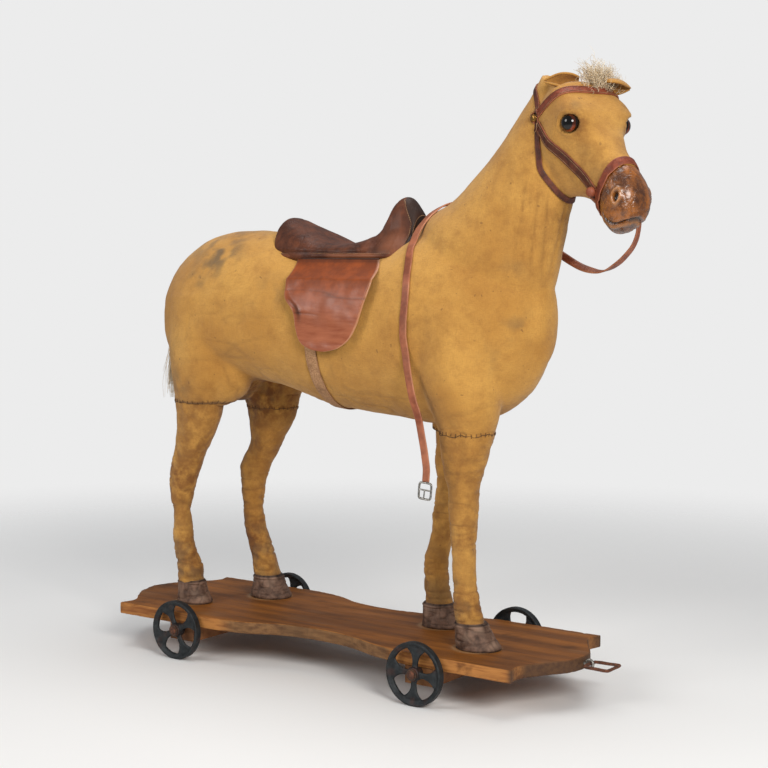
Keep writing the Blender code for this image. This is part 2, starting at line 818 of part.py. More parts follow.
def make_axles(toy):
    """Each axle is a rod whose ends are hammered out over a washer."""
    washer_inner = HUB_OUTER_FACE + CLEARANCE
    washer_outer = washer_inner + WASHER_THICKNESS
    head = washer_outer + CLEARANCE
    for end, ahead in ENDS.items():
        place = (ahead * WHEELBASE / 2, 0, AXLE_HEIGHT)
        axle = turned(
            f"axle_{end}",
            (
                (0.0, head + AXLE_HEAD_HEIGHT),
                (AXLE_HEAD_RADIUS * 0.6, head + 0.85 * AXLE_HEAD_HEIGHT),
                (AXLE_HEAD_RADIUS, head + 0.3 * AXLE_HEAD_HEIGHT),
                (AXLE_HEAD_RADIUS, head),
                (AXLE_RADIUS, head),
                (AXLE_RADIUS, -head),
                (AXLE_HEAD_RADIUS, -head),
                (AXLE_HEAD_RADIUS, -head - 0.3 * AXLE_HEAD_HEIGHT),
                (AXLE_HEAD_RADIUS * 0.6, -head - 0.85 * AXLE_HEAD_HEIGHT),
                (0.0, -head - AXLE_HEAD_HEIGHT),
            ),
            12,
        )
        finish(axle, "rust", toy).location = place
        for side, sign in SIDES.items():
            washer = turned(
                f"axle_washer_{end}_{side}",
                (
                    (AXLE_RADIUS + RUNNING_GAP, sign * washer_inner),
                    (WASHER_RADIUS, sign * washer_inner),
                    (WASHER_RADIUS, sign * washer_outer),
                    (AXLE_RADIUS + RUNNING_GAP, sign * washer_outer),
                    (AXLE_RADIUS + RUNNING_GAP, sign * washer_inner),
                ),
                12,
            )
            finish(washer, "iron", toy).location = place


def half_outline():
    """The board's left edge from the rear tip to the front tip: x, y, is_corner."""
    half, waist = BOARD_WIDTH / 2, WAIST_WIDTH / 2
    wing = 0.78 * half
    return [
        (-REAR_CORNER - 1.2 * END_BULGE, 0.0, False),
        (-REAR_CORNER - 0.93 * END_BULGE, 0.30 * half, False),
        (-REAR_CORNER - 0.42 * END_BULGE, 0.55 * half, False),
        (-REAR_CORNER + END_SCOOP, wing, False),
        (-REAR_CORNER, half, True),
        (-0.160, half, True),
        (-0.110, 0.94 * half, False),
        (-0.050, waist + 0.004, False),
        (0.015, waist - 0.004, False),
        (0.075, waist + 0.002, False),
        (0.140, 0.90 * half, False),
        (0.205, half, True),
        (FRONT_CORNER, half, True),
        (FRONT_CORNER - END_SCOOP, wing, False),
        (FRONT_CORNER + 0.32 * END_BULGE, 0.52 * half, False),
        (FRONT_CORNER + 0.92 * END_BULGE, 0.18 * half, False),
        (FRONT_TIP, 0.0, False),
    ]


def make_board(toy):
    left = half_outline()
    right = [(x, -y, corner) for x, y, corner in left[-2:0:-1]]
    board = plate("base_board", [left + right], BOARD_THICKNESS, resolution=3)
    board.data.transform(
        Matrix.Translation((0, 0, BOARD_BOTTOM + BOARD_THICKNESS / 2))
    )
    holes = [
        rod(
            f"board_hole_{foot}",
            ROD_RADIUS + CLEARANCE,
            (*place, BOARD_BOTTOM - 0.01),
            (*place, BOARD_TOP + 0.01),
            sides=12,
        )
        for foot, (_, _, place) in FEET.items()
    ]
    for number, (x, y) in enumerate(screw_places()):
        holes.append(
            rod(
                f"board_pilot_{number}",
                SCREW_RADIUS + CLEARANCE,
                (x, y, BOARD_BOTTOM - 0.01),
                (x, y, BOARD_BOTTOM + SCREW_BITE + CLEARANCE),
                sides=8,
            )
        )
    holes.append(
        rod(
            "board_eye_hole",
            EYE_WIRE + CLEARANCE,
            (FRONT_TIP - EYE_SHANK, 0, eye_height()),
            (FRONT_TIP + 0.01, 0, eye_height()),
            sides=10,
        )
    )
    finish(settled(cut(board, *holes)), "board", toy)


def eye_height():
    return BOARD_BOTTOM + BOARD_THICKNESS / 2


def screw_places():
    return [
        (ahead * (WHEELBASE / 2 + SCREW_OFFSET), sign * SCREW_SIDE)
        for ahead in ENDS.values()
        for sign in SIDES.values()
    ]


def make_blocks(toy):
    top = BOARD_BOTTOM - CLEARANCE
    half_length = HUB_INNER_FACE - BLOCK_END_GAP
    for end, ahead in ENDS.items():
        x = ahead * WHEELBASE / 2
        block = box(
            f"axle_block_{end}",
            (BLOCK_WIDTH, 2 * half_length, BLOCK_HEIGHT),
            (x, 0, top - BLOCK_HEIGHT / 2),
        )
        groove_width = 2 * (AXLE_RADIUS + CLEARANCE)
        groove = rod(
            f"groove_round_{end}",
            AXLE_RADIUS + CLEARANCE,
            (x, -WHEEL_OUTER_FACE, AXLE_HEIGHT),
            (x, WHEEL_OUTER_FACE, AXLE_HEIGHT),
            sides=12,
        )
        slot = box(
            f"groove_slot_{end}",
            (groove_width, 2 * WHEEL_OUTER_FACE, AXLE_DEPTH + 0.001),
            (x, 0, AXLE_HEIGHT + (AXLE_DEPTH + 0.001) / 2),
        )
        cut(block, groove, slot)
        for number, (screw_x, screw_y) in enumerate(screw_places()):
            if abs(screw_x - x) < BLOCK_WIDTH / 2:
                cut(
                    block,
                    rod(
                        f"block_hole_{number}",
                        SCREW_RADIUS + CLEARANCE,
                        (screw_x, screw_y, top - 2 * BLOCK_HEIGHT),
                        (screw_x, screw_y, top + 0.01),
                        sides=8,
                    ),
                )
        for foot, (_, _, (nut_x, nut_y)) in FEET.items():
            if abs(nut_x - x) < BLOCK_WIDTH / 2 + NUT_RADIUS + CLEARANCE:
                pocket = rod(
                    f"nut_pocket_{foot}",
                    NUT_RADIUS + CLEARANCE,
                    (nut_x, nut_y, top - NUT_HEIGHT - ROD_TAIL - 0.001),
                    (nut_x, nut_y, top + 0.01),
                    sides=12,
                )
                cut(block, pocket)
        finish(settled(block), "wood", toy)


def make_screws(toy):
    """Round-headed screws from under each block into the board."""
    seat = BOARD_BOTTOM - CLEARANCE - BLOCK_HEIGHT - CLEARANCE
    names = [f"block_screw_{end}_{side}" for end in ENDS for side in SIDES]
    for name, (x, y) in zip(names, screw_places()):
        screw = turned(
            name,
            (
                (0.0, seat - 0.0026),
                (SCREW_HEAD_RADIUS * 0.6, seat - 0.0022),
                (SCREW_HEAD_RADIUS, seat),
                (SCREW_RADIUS, seat),
                (SCREW_RADIUS, BOARD_BOTTOM + SCREW_BITE - 0.004),
                (0.0, BOARD_BOTTOM + SCREW_BITE),
            ),
            8,
            axis="Z",
        )
        finish(screw, "iron", toy).location = (x, y, 0)


def make_hitch(toy):
    eye_x = FRONT_TIP + EYE_RADIUS + EYE_WIRE + 0.0008
    ring = [
        (
            eye_x + EYE_RADIUS * math.cos(2 * math.pi * k / 12),
            0,
            eye_height() + EYE_RADIUS * math.sin(2 * math.pi * k / 12),
        )
        for k in range(12)
    ]
    eye = as_mesh(tube("hitch_eye", ring, EYE_WIRE, sides=6, cyclic=True))
    shank = rod(
        "eye_shank",
        EYE_WIRE,
        (FRONT_TIP - EYE_SHANK + 0.002, 0, eye_height()),
        (eye_x - EYE_RADIUS, 0, eye_height()),
        sides=8,
    )
    join(eye, shank)
    finish(settled(eye), "steel", toy)

    root, tip = LINK_ROOT_WIDTH / 2, LINK_TIP_WIDTH / 2
    corner = 0.004
    outline = [
        (0, -root + corner, 0),
        (corner, -root, 0),
        (LINK_LENGTH - 2 * corner, -tip, 0),
        (LINK_LENGTH - corner, -tip + corner, 0),
        (LINK_LENGTH - corner, tip - corner, 0),
        (LINK_LENGTH - 2 * corner, tip, 0),
        (corner, root, 0),
        (0, root - corner, 0),
    ]
    link = as_mesh(tube("pull_link", outline, LINK_BAR, cyclic=True))
    link.data.transform(Matrix.Translation((0, 0, -LINK_REST)))
    finish(link, "rust", toy).location = (eye_x, 0, eye_height())


def rod_route(foot):
    """From under the board, up the leg and in beside the plank."""
    _, _, (x, y) = FEET[foot]
    leg, top = LEGS[foot], LEG_TOPS[foot]
    beside = math.copysign(PLANK_THICKNESS / 2 + ROD_RADIUS + CLOTH_GAP, y)
    below = -BOARD_THICKNESS - CLEARANCE - NUT_HEIGHT - ROD_TAIL
    middle = [(point[1], point[2], point[0]) for point in leg[2:-2]]
    return [
        (x, y, below),
        (x, y, 0.0),
        (x, y, HOOF_HEIGHT),
        *middle,
        (top[0][1], top[0][2], top[0][0]),
        (top[2][1], beside, PLANK_BOTTOM + 0.012),
        (top[2][1], beside, PLANK_TOP - 0.006),
    ]


def make_inner_frame(horse):
    """The plank, the post and the four rods that the stuffing hides."""
    plank_middle = (-0.005, 0, (PLANK_BOTTOM + PLANK_TOP) / 2)
    plank_size = (PLANK_LENGTH, PLANK_THICKNESS, PLANK_TOP - PLANK_BOTTOM)
    plank = finish(box("body_plank", plank_size, plank_middle), "wood", horse)
    post_foot = Vector((PLANK_LENGTH / 2 - 0.025, 0, PLANK_TOP))
    post_top = Vector(POLL) + Vector((0.004, 0, -0.008))
    lean = (post_top - post_foot).normalized()
    post = rod("neck_post", POST_RADIUS, post_foot - 0.02 * lean, post_top, sides=12)
    seat = box(
        "post_seat",
        (0.2, 0.2, 0.1),
        (post_foot.x, 0, PLANK_TOP + CLEARANCE - 0.05),
    )
    finish(settled(cut(post, seat)), "wood", horse)
    for foot in FEET:
        rod_curve = tube(f"leg_rod_{foot}", rod_route(foot), ROD_RADIUS)
        finish(as_mesh(rod_curve), "rust", horse)
    return plank, post


def inner_cutters(radius_gap):
    """Copies of the inner frame, a little larger, for what it is buried in."""
    plank = grown_box("plank_room", radius_gap)
    post = bpy.data.objects["neck_post"]
    rooms = [plank, grown(post, radius_gap, "post_room")]
    for foot in FEET:
        route = rod_route(foot)
        route[-1] = (route[-1][0], route[-1][1], route[-1][2] + radius_gap)
        room = tube(f"rod_room_{foot}", route, ROD_RADIUS + radius_gap)
        rooms.append(as_helper(as_mesh(room)))
    return rooms


def grown_box(name, gap):
    size = (
        PLANK_LENGTH + 2 * gap,
        PLANK_THICKNESS + 2 * gap,
        PLANK_TOP - PLANK_BOTTOM + 2 * gap,
    )
    return as_helper(box(name, size, (-0.005, 0, (PLANK_BOTTOM + PLANK_TOP) / 2)))


def make_body():
    body = loft("torso", [upright_ring(*ring) for ring in BODY])
    for foot, rings in LEG_TOPS.items():
        top = loft(
            f"leg_top_{foot}",
            [level_ring(x, y, z, long, wide) for z, x, y, long, wide in rings],
        )
        join(body, top)
    return in_triangles(settled(body))


def make_neck():
    return loft("neck", [neck_ring(*ring) for ring in NECK])


def make_leg(foot):
    rings = [
        level_ring(x, y, z, long, wide) for z, x, y, long, wide in LEGS[foot]
    ]
    return loft(f"leg_{foot}", rings)


def make_hoof(foot, horse, rod_room):
    (x, y), radius, _ = FEET[foot]
    cuff_x, cuff_y = LEGS[foot][0][1:3]
    cuff = LEGS[foot][0][3] + 0.003
    edit = bmesh.new()
    levels = (
        (CLEARANCE, 1.0, 0.0),
        (0.25 * HOOF_HEIGHT, 0.97, 0.25),
        (0.8 * HOOF_HEIGHT, None, 0.85),
        (HOOF_HEIGHT, None, 1.0),
    )
    count = 12
    loops = []
    for height, share, drift in levels:
        r = radius * share if share else radius + (cuff - radius) * drift
        middle = (x + (cuff_x - x) * drift, y + (cuff_y - y) * drift)
        loops.append(
            [
                edit.verts.new(
                    (
                        middle[0] + r * math.cos(2 * math.pi * k / count),
                        middle[1] + 0.96 * r * math.sin(2 * math.pi * k / count),
                        height,
                    )
                )
                for k in range(count)
            ]
        )
    for lower, upper in zip(loops, loops[1:]):
        for k in range(count):
            after = (k + 1) % count
            edit.faces.new((lower[k], lower[after], upper[after], upper[k]))
    edit.faces.new(loops[0][::-1])
    edit.faces.new(loops[-1])
    hoof = mesh_object(f"hoof_{foot}", edit)
    cut(hoof, rod_room)
    return finish(settled(hoof), "hoof", horse)


def make_rod_nut(foot, horse):
    _, _, (x, y) = FEET[foot]
    top = -BOARD_THICKNESS - CLEARANCE
    nut = rod(
        f"rod_nut_{foot}", NUT_RADIUS, (x, y, top - NUT_HEIGHT), (x, y, top), sides=6
    )
    bore = rod(
        f"nut_bore_{foot}",
        ROD_RADIUS + CLEARANCE,
        (x, y, top - 2 * NUT_HEIGHT),
        (x, y, top + NUT_HEIGHT),
        sides=12,
    )
    finish(settled(cut(nut, bore)), "iron", horse)


def head_frame():
    turn = Matrix.Rotation(-HEAD_TURN, 4, "Z") @ Matrix.Rotation(HEAD_NOD, 4, "Y")
    return Matrix.Translation(Vector(POLL)) @ turn


def in_head(item):
    """Moves a piece made in the head's frame to its place on the horse."""
    item.data.transform(head_frame())
    return item


def make_head():
    head = loft("head", [upright_ring(*ring) for ring in HEAD])
    return in_head(in_triangles(settled(head)))


def make_muzzle(head):
    """The moulded muzzle, and its plain form for the straps that go round it."""
    muzzle = loft("muzzle", [upright_ring(*ring) for ring in MUZZLE])
    in_triangles(settled(muzzle))
    whole = in_head(copy_of(muzzle, "muzzle_whole"))
    mouth = box("mouth_slit", (0.030, 0.08, 0.0022), (0, 0, 0))
    mouth.data.transform(
        Matrix.Translation((0.208, 0, -0.020)) @ Matrix.Rotation(math.radians(-18), 4, "Y")
    )
    cut(muzzle, mouth)
    for side, sign in SIDES.items():
        _, place, _, _ = muzzle.ray_cast(
            (NOSTRIL[0], 0.1 * sign, NOSTRIL[1]), (0, -sign, 0)
        )
        cut(muzzle, ball(f"nostril_{side}", NOSTRIL_RADIUS, place, rings=6, sides=8))
    in_head(settled(muzzle))
    return settled(cut(muzzle, grown(head, CLOTH_GAP, "head_room_muzzle"))), whole


def make_eyes(head, horse):
    x, y, z = EYE_PLACE
    for side, sign in SIDES.items():
        centre = (x, sign * (y - 0.3 * EYE_BALL), z)
        socket = in_head(ball(f"socket_{side}", EYE_BALL + CLOTH_GAP, centre))
        cut(head, socket)
        eye = in_head(ball(f"eye_{side}", EYE_BALL, centre))
        finish(eye, "glass", horse)


def make_ear(side, rooms, horse):
    """A folded leaf of cloth that sticks out sideways from the head."""
    root, tip, opening, half_width = EARS[side]
    root, tip = Vector(root), Vector(tip)
    run = (tip - root).normalized()
    front = Vector(opening) - run * run.dot(Vector(opening))
    front.normalize()
    across = run.cross(front)
    rows = 6
    edit = bmesh.new()
    grid = []
    for i in range(rows + 1):
        share = i / rows
        half = half_width * math.sin(math.pi * (0.2 + 0.76 * share))
        middle = root.lerp(tip, share) + front * 0.3 * half
        line = []
        for j in range(7):
            turn = math.radians(35 * j - 105)
            away = -front * math.cos(turn) + across * math.sin(turn)
            line.append(edit.verts.new(middle + half * away))
        grid.append(line)
    for first, second in zip(grid, grid[1:]):
        for j in range(6):
            edit.faces.new((first[j], first[j + 1], second[j + 1], second[j]))
    ear = mesh_object(f"ear_{side}", edit)
    wall = ear.modifiers.new("wall", "SOLIDIFY")
    wall.thickness = EAR_THICKNESS
    wall.offset = 0
    in_head(settled(ear))
    cut(ear, *rooms)
    finish(without_scraps(settled(ear)), "cloth", horse)


def make_hair(rooms, body_room, horse):
    tuft = loft(
        "forelock",
        [level_ring(x, y, z, long, wide) for z, x, y, long, wide in FORELOCK],
    )
    in_head(settled(tuft))
    ears = [
        grown(bpy.data.objects[f"ear_{side}"], CLEARANCE, f"ear_room_{side}")
        for side in SIDES
    ]
    finish(settled(cut(tuft, *rooms, *ears)), "hair", horse)
    points = [(x, 0, z) for x, z, _ in TAIL]
    radii = [radius / TAIL[0][2] for _, _, radius in TAIL]
    tail = as_mesh(tube("tail", points, TAIL[0][2], radii=radii))
    finish(settled(cut(tail, body_room)), "hair", horse)


def strap_slab(name, start, end, width, past=(0.1, 0.1), reach=0.3):
    """A slab right across the horse, along a line given by x and height."""
    start, end = Vector((start[0], 0, start[1])), Vector((end[0], 0, end[1]))
    run = (end - start).normalized()
    across = Vector((0, 1, 0))
    turn = Matrix((run, across, run.cross(across))).transposed().to_4x4()
    length = (end - start).length + past[0] + past[1]
    slab = box(name, (length, reach, width), (length / 2 - past[0], 0, 0))
    slab.data.transform(Matrix.Translation(start) @ turn)
    return slab


def strap(name, forms, layers, slab, rooms):
    """What lies in a slab of the forms' skins, moved out, less what lies under it."""
    out = CLOTH_GAP + layers * STRAP_THICKNESS
    skins = [grown(form, out, f"{name}_on_{form.name}") for form in forms]
    made = skins[0]
    made.name = name
    made.hide_render = False
    made.display_type = "TEXTURED"
    join(made, *skins[1:])
    combine(made, slab, "INTERSECT")
    cut(made, *rooms)
    return finish(without_scraps(settled(made)), "leather")


def make_bridle(head, neck, muzzle, rooms, horse):
    """Three straps: round the throat, round the nose, and over the brow and cheeks."""
    crown, jaw, under = THROAT_STRAP
    slab = strap_slab("throat_slab", crown, jaw, 0.63 * STRAP_WIDTH, (0.1, 0))
    turned_slab = strap_slab(
        "jaw_slab", jaw, under, 0.63 * STRAP_WIDTH, (0.001, 0.05), reach=0.29
    )
    join(slab, turned_slab)
    throat = strap("throat_strap", (head, neck), 1, settled(slab), rooms)
    slab = in_head(strap_slab("nose_slab", *NOSEBAND, STRAP_WIDTH))
    nose = strap("noseband", (head, muzzle), 1, slab, rooms)
    under = [
        *rooms,
        grown(throat, CLEARANCE, "throat_strap_room"),
        grown(nose, CLEARANCE, "noseband_room"),
    ]
    past = 0.4 * STRAP_WIDTH
    over = strap_slab("brow_slab", *BROW_STRAP, STRAP_WIDTH, (past, 0.03))
    down = strap_slab("cheek_slab", *CHEEK_STRAP, STRAP_WIDTH, (past, 0), reach=0.29)
    join(over, down)
    slab = in_head(settled(over))
    brow = strap("brow_and_cheek_strap", (head, neck), 2, slab, under)
    for made in (throat, nose, brow):
        made.parent = horse
    return throat, nose, brow


def highest_under(items, place, turn):
    """How far objects rise above a place, within a stud's width of it."""
    out = turn.col[2].xyz
    rises = []
    for ring in (0.4, 0.75, 1.1):
        for k in range(16):
            angle = 2 * math.pi * k / 16
            reach = ring * STUD_RADIUS
            aside = Vector((reach * math.cos(angle), reach * math.sin(angle), 0.02))
            for item in items:
                found, spot, _, _ = item.ray_cast(place + turn.to_3x3() @ aside, -out)
                if found:
                    rises.append((spot - place).dot(out))
    return max(0.0, *rises)


def make_studs(forms, straps, horse):
    """Domed brass studs where the straps cross, seated on the upper strap."""
    frame = head_frame()
    for spot, (x, z) in (("temple", BROW_STRAP[0]), ("cheek", CHEEK_STUD)):
        for side, sign in SIDES.items():
            start = frame @ Vector((x, sign * 0.2, z))
            aim = frame.to_3x3() @ Vector((0, -sign, 0))
            _, place, _, _ = straps[-1].ray_cast(start, aim)
            hits = [form.ray_cast(start, aim) for form in forms]
            _, _, normal, _ = min(
                (hit for hit in hits if hit[0]), key=lambda hit: (hit[1] - start).length
            )
            dome = turned(
                f"stud_{spot}_{side}",
                (
                    (0.0, 0.0),
                    (STUD_RADIUS, 0.0),
                    (STUD_RADIUS, 0.0008),
                    (STUD_RADIUS * 0.72, 0.0026),
                    (0.0, 0.0034),
                ),
                10,
                axis="Z",
            )
            turn = normal.to_track_quat("Z", "Y").to_matrix().to_4x4()
            lift = CLEARANCE + highest_under((*forms, *straps), place, turn)
            dome.data.transform(Matrix.Translation(place + lift * normal) @ turn)
            finish(dome, "brass", horse)


def make_saddle(body_room, neck_room, horse):
    seat = loft(
        "saddle_seat",
        [
            upright_ring(x, half, rim - 0.02, rim, top, 0.9)
            for x, half, rim, top in SADDLE
        ],
    )
    settled(seat)
    for side, sign in SIDES.items():
        roll = rod(
            f"saddle_rim_{side}",
            RIM_RADIUS,
            (RIM_REACH[0], sign * RIM_SIDE, RIM_HEIGHT),
            (RIM_REACH[1], sign * RIM_SIDE, RIM_HEIGHT),
            sides=10,
        )
        join(seat, roll)
    arch = rod("pommel_arch", 0.017, (0.106, 0, 0.624), (0.2, 0, 0.632), sides=16)
    cut(seat, arch, body_room, neck_room)
    return finish(settled(seat), "leather", horse)


def flap_side(height):
    """How far the flap's inner face is from the middle at a height."""
    sides = []
    for _, half, _, widest, top in BODY[4:7]:
        rise = min(1.0, max(0.0, (height - widest) / (top - widest)))
        sides.append(half * math.sqrt(1 - rise**2))
    barrel = max(sides) + FLAP_GAP
    share = min(1.0, max(0.0, (FLAP_TOP - height) / 0.03))
    return (FLAP_SIDE - FLAP_THICKNESS / 2) * (1 - share) + barrel * share


def make_flap(side, horse):
    """A shaped sheet of leather that follows the barrel and hangs from a bead."""
    sign = SIDES[side]
    left = min(x for x, _ in FLAP) - 0.01
    right = max(x for x, _ in FLAP) + 0.01
    low = min(z for _, z in FLAP) - 0.01
    rows = 9
    edit = bmesh.new()
    lines = []
    for i in range(rows + 1):
        z = FLAP_TOP + (low - FLAP_TOP) * i / rows
        y = sign * flap_side(z)
        lines.append([edit.verts.new((x, y, z)) for x in (left, right)])
    for (a, b), (d, c) in zip(lines, lines[1:]):
        edit.faces.new((a, b, c, d))
    bmesh.ops.recalc_face_normals(edit, faces=edit.faces)
    flap = mesh_object(f"saddle_flap_{side}", edit)
    wall = flap.modifiers.new("wall", "SOLIDIFY")
    wall.thickness = FLAP_THICKNESS
    wall.offset = 1 if flap.data.polygons[0].normal.y * sign > 0 else -1
    settled(flap)
    corners = {0, 1, len(FLAP) - 1}
    outline = [(x, z, k in corners) for k, (x, z) in enumerate(FLAP)]
    prism = plate(f"flap_outline_{side}", [outline], 0.5, resolution=4)
    prism.data.transform(Matrix.Rotation(math.radians(90), 4, "X"))
    combine(flap, prism, "INTERSECT")
    bead = rod(
        f"flap_bead_{side}",
        FLAP_BEAD,
        (FLAP[0][0] + 0.001, sign * FLAP_SIDE, FLAP_TOP),
        (FLAP[-1][0] - 0.001, sign * FLAP_SIDE, FLAP_TOP),
        sides=10,
    )
    join(flap, bead)
    settled(flap)
    hinge = Vector(((FLAP[0][0] + FLAP[-1][0]) / 2, sign * FLAP_SIDE, FLAP_TOP))
    flap.data.transform(Matrix.Translation(-hinge))
    finish(flap, "flap", horse).location = hinge


def make_girth(body, saddle, horse):
    made = grown(body, CLOTH_GAP + GIRTH_THICKNESS, "girth")
    made.hide_render = False
    made.display_type = "TEXTURED"
    slab = box("girth_slab", (GIRTH_WIDTH, 0.5, 0.6), (GIRTH_PLACE, 0, 0.45))
    combine(made, slab, "INTERSECT")
    cut(
        made,
        grown(body, CLOTH_GAP, "girth_room"),
        grown(saddle, CLEARANCE, "saddle_room"),
    )
    finish(settled(made), "webbing", horse)


def strap_ring(centre, along, facing):
    """The section of a flat strap: six points, with its thin edges brought together."""
    across = along.cross(facing).normalized()
    facing = across.cross(along).normalized()
    half, thick = REIN_WIDTH / 2, REIN_THICKNESS / 2
    corners = (
        (half, 0),
        (0.8 * half, thick),
        (-0.8 * half, thick),
        (-half, 0),
        (-0.8 * half, -thick),
        (0.8 * half, -thick),
    )
    return [centre + a * across + b * facing for a, b in corners]


def make_rein(horse):
    """A long flat strap, and a rectangular buckle at its free end."""
    points = smooth_path([knot[:3] for knot in REIN], REIN_POINTS)
    knots = [Vector(knot[:3]) for knot in REIN]
    rings = []
    for index, point in enumerate(points):
        before, after = points[max(index - 1, 0)], points[min(index + 1, REIN_POINTS - 1)]
        weights = [math.exp(-(((point - knot).length / 0.025) ** 2)) for knot in knots]
        facing = sum(
            (w * Vector(knot[3:]) for w, knot in zip(weights, REIN)), Vector((0, 0, 0))
        )
        rings.append(strap_ring(point, (after - before).normalized(), facing))
    finish(settled(loft("rein", rings, levels=0)), "leather", horse)
    run = (points[-1] - points[-2]).normalized()
    side = Vector((1, 0, 0)) - run * run.x
    side.normalize()
    near = points[-1] + run * (CLEARANCE + BUCKLE_WIRE)
    half = BUCKLE_WIDTH / 2
    far = near + run * BUCKLE_LENGTH
    frame = [near - half * side, far - half * side, far + half * side, near + half * side]
    middle = near + 0.45 * run * BUCKLE_LENGTH
    buckle = as_mesh(tube("rein_buckle", frame, BUCKLE_WIRE, sides=6, cyclic=True))
    bar = rod("buckle_bar", 0.0012, middle - half * side, middle + half * side, sides=8)
    join(buckle, bar)
    finish(settled(buckle), "steel", horse)


def stand_on_origin(toy):
    """Moves the toy so that the origin is under the middle of its length and width."""
    bpy.context.view_layer.update()
    corners = [
        item.matrix_world @ Vector(corner)
        for item in PARTS.objects
        if item.type == "MESH" and item.name not in ("rein", "rein_buckle")
        for corner in item.bound_box
    ]
    for axis in (0, 1):
        values = [corner[axis] for corner in corners]
        toy.location[axis] = -(min(values) + max(values)) / 2


def build():
    toy = empty("toy", (0, 0, 0))
    horse = empty("horse", (0, 0, 0), toy)
    make_wheels(toy)
    make_axles(toy)
    make_board(toy)
    make_blocks(toy)
    make_screws(toy)
    make_hitch(toy)
    make_inner_frame(horse)
    frame_rooms = inner_cutters(CLOTH_GAP)
    for foot in FEET:
        make_rod_nut(foot, horse)
        make_hoof(foot, horse, bpy.data.objects[f"rod_room_{foot}"])
    body = make_body()
    body_room = grown(body, CLOTH_GAP, "body_room")
    for foot in FEET:
        leg = make_leg(foot)
        hoof_top = box(
            f"hoof_top_{foot}",
            (0.2, 0.2, 0.1),
            (*FEET[foot][0], HOOF_HEIGHT + CLEARANCE - 0.05),
        )
        cut(leg, body_room, bpy.data.objects[f"rod_room_{foot}"], hoof_top)
        finish(settled(leg), "cloth", horse)
    neck = in_triangles(settled(make_neck()))
    head = make_head()
    muzzle, whole_muzzle = make_muzzle(head)
    whole_head = copy_of(head, "head_whole")
    whole_neck = copy_of(neck, "neck_whole")
    neck_room = grown(neck, CLOTH_GAP, "neck_room")
    cut(neck, body_room)
    cut(head, neck_room)
    make_eyes(head, horse)
    whole_forms = (whole_head, whole_neck, whole_muzzle)
    rooms = [grown(form, CLOTH_GAP, f"{form.name}_room") for form in whole_forms]
    straps = make_bridle(*whole_forms, rooms, horse)
    rooms.append(grown(straps[-1], CLEARANCE, "brow_strap_room"))
    for side in SIDES:
        make_ear(side, rooms, horse)
    make_hair(rooms, body_room, horse)
    make_studs(whole_forms, straps, horse)
    saddle = make_saddle(body_room, neck_room, horse)
    for side in SIDES:
        make_flap(side, horse)
    make_girth(body, saddle, horse)
    make_rein(horse)
    cut(body, *frame_rooms)
    for item in (neck, head):
        cut(item, bpy.data.objects["post_room"])
    for item in (body, neck, head):
        finish(settled(item), "cloth", horse)
    finish(muzzle, "muzzle", horse)
    horse.location.z = BOARD_TOP
    stand_on_origin(toy)


clear_scene()
PARTS = named_collection("horse_pull_toy")
CUTTERS = named_collection("cutters")
build()
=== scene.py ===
import math
import bpy
import numpy as np
from mathutils import Matrix, Vector
from mathutils.bvhtree import BVHTree


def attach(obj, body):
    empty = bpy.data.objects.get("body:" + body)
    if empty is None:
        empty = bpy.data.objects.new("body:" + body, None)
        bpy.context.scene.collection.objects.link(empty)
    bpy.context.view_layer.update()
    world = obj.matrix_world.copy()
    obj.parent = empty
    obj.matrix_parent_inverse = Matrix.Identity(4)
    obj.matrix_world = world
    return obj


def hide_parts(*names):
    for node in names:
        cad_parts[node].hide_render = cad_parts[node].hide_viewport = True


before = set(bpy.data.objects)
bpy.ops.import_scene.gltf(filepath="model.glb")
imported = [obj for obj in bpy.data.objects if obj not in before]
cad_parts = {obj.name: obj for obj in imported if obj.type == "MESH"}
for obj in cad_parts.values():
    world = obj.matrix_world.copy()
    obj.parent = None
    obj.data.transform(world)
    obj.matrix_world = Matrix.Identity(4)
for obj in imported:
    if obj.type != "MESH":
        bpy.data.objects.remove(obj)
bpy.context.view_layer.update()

# where the horse's own frame stands: its X and Y, and the top of the board
shift = np.array((-0.059036, 0.0, 0.073014))
rootBody = "horse_on_board"
random = np.random.default_rng(7)
bothSides = (("right", -1.0), ("left", 1.0))


def turnMatrix(axis, degrees):
    return np.array(Matrix.Rotation(math.radians(degrees), 3, axis))


headTurn = turnMatrix("Z", -22.0) @ turnMatrix("Y", 50.0)
headPlace = np.array((0.397, -0.006, 0.788)) + shift


def fromHead(points):
    return np.asarray(points, float) @ headTurn.T + headPlace


def toHead(points):
    return (np.asarray(points, float) - headPlace) @ headTurn


def linked(name, data):
    made = bpy.data.objects.new(name, data)
    bpy.context.scene.collection.objects.link(made)
    return made


# camera

view = {
    "azimuth": 35.007, "elevation": 4.3185, "roll": 0.4727,
    "place": (1.426464, -2.0201, 0.6364), "focal": 1589.45, "pixels": 768.0, "sensor": 36.0,
}


def makeCamera():
    azimuth, elevation, roll = (math.radians(view[k]) for k in ("azimuth", "elevation", "roll"))
    right = Vector((math.cos(azimuth), math.sin(azimuth), 0.0))
    level = math.cos(elevation)
    back = Vector((math.sin(azimuth) * level, -math.cos(azimuth) * level, math.sin(elevation)))
    up = back.cross(right)
    across = right * math.cos(roll) + up * math.sin(roll)
    upright = up * math.cos(roll) - right * math.sin(roll)
    data = bpy.data.cameras.new("camera")
    data.sensor_width = view["sensor"]
    data.lens = view["focal"] * view["sensor"] / view["pixels"]
    data.clip_end = 60.0
    camera = linked("camera", data)
    matrix = Matrix((across, upright, back)).transposed().to_4x4()
    matrix.translation = view["place"]
    camera.matrix_world = matrix
    bpy.context.scene.camera = camera


# smooth shapes on grids

def smoothstep(low, high, value):
    share = np.clip((value - low) / (high - low), 0.0, 1.0)
    return share * share * (3.0 - 2.0 * share)


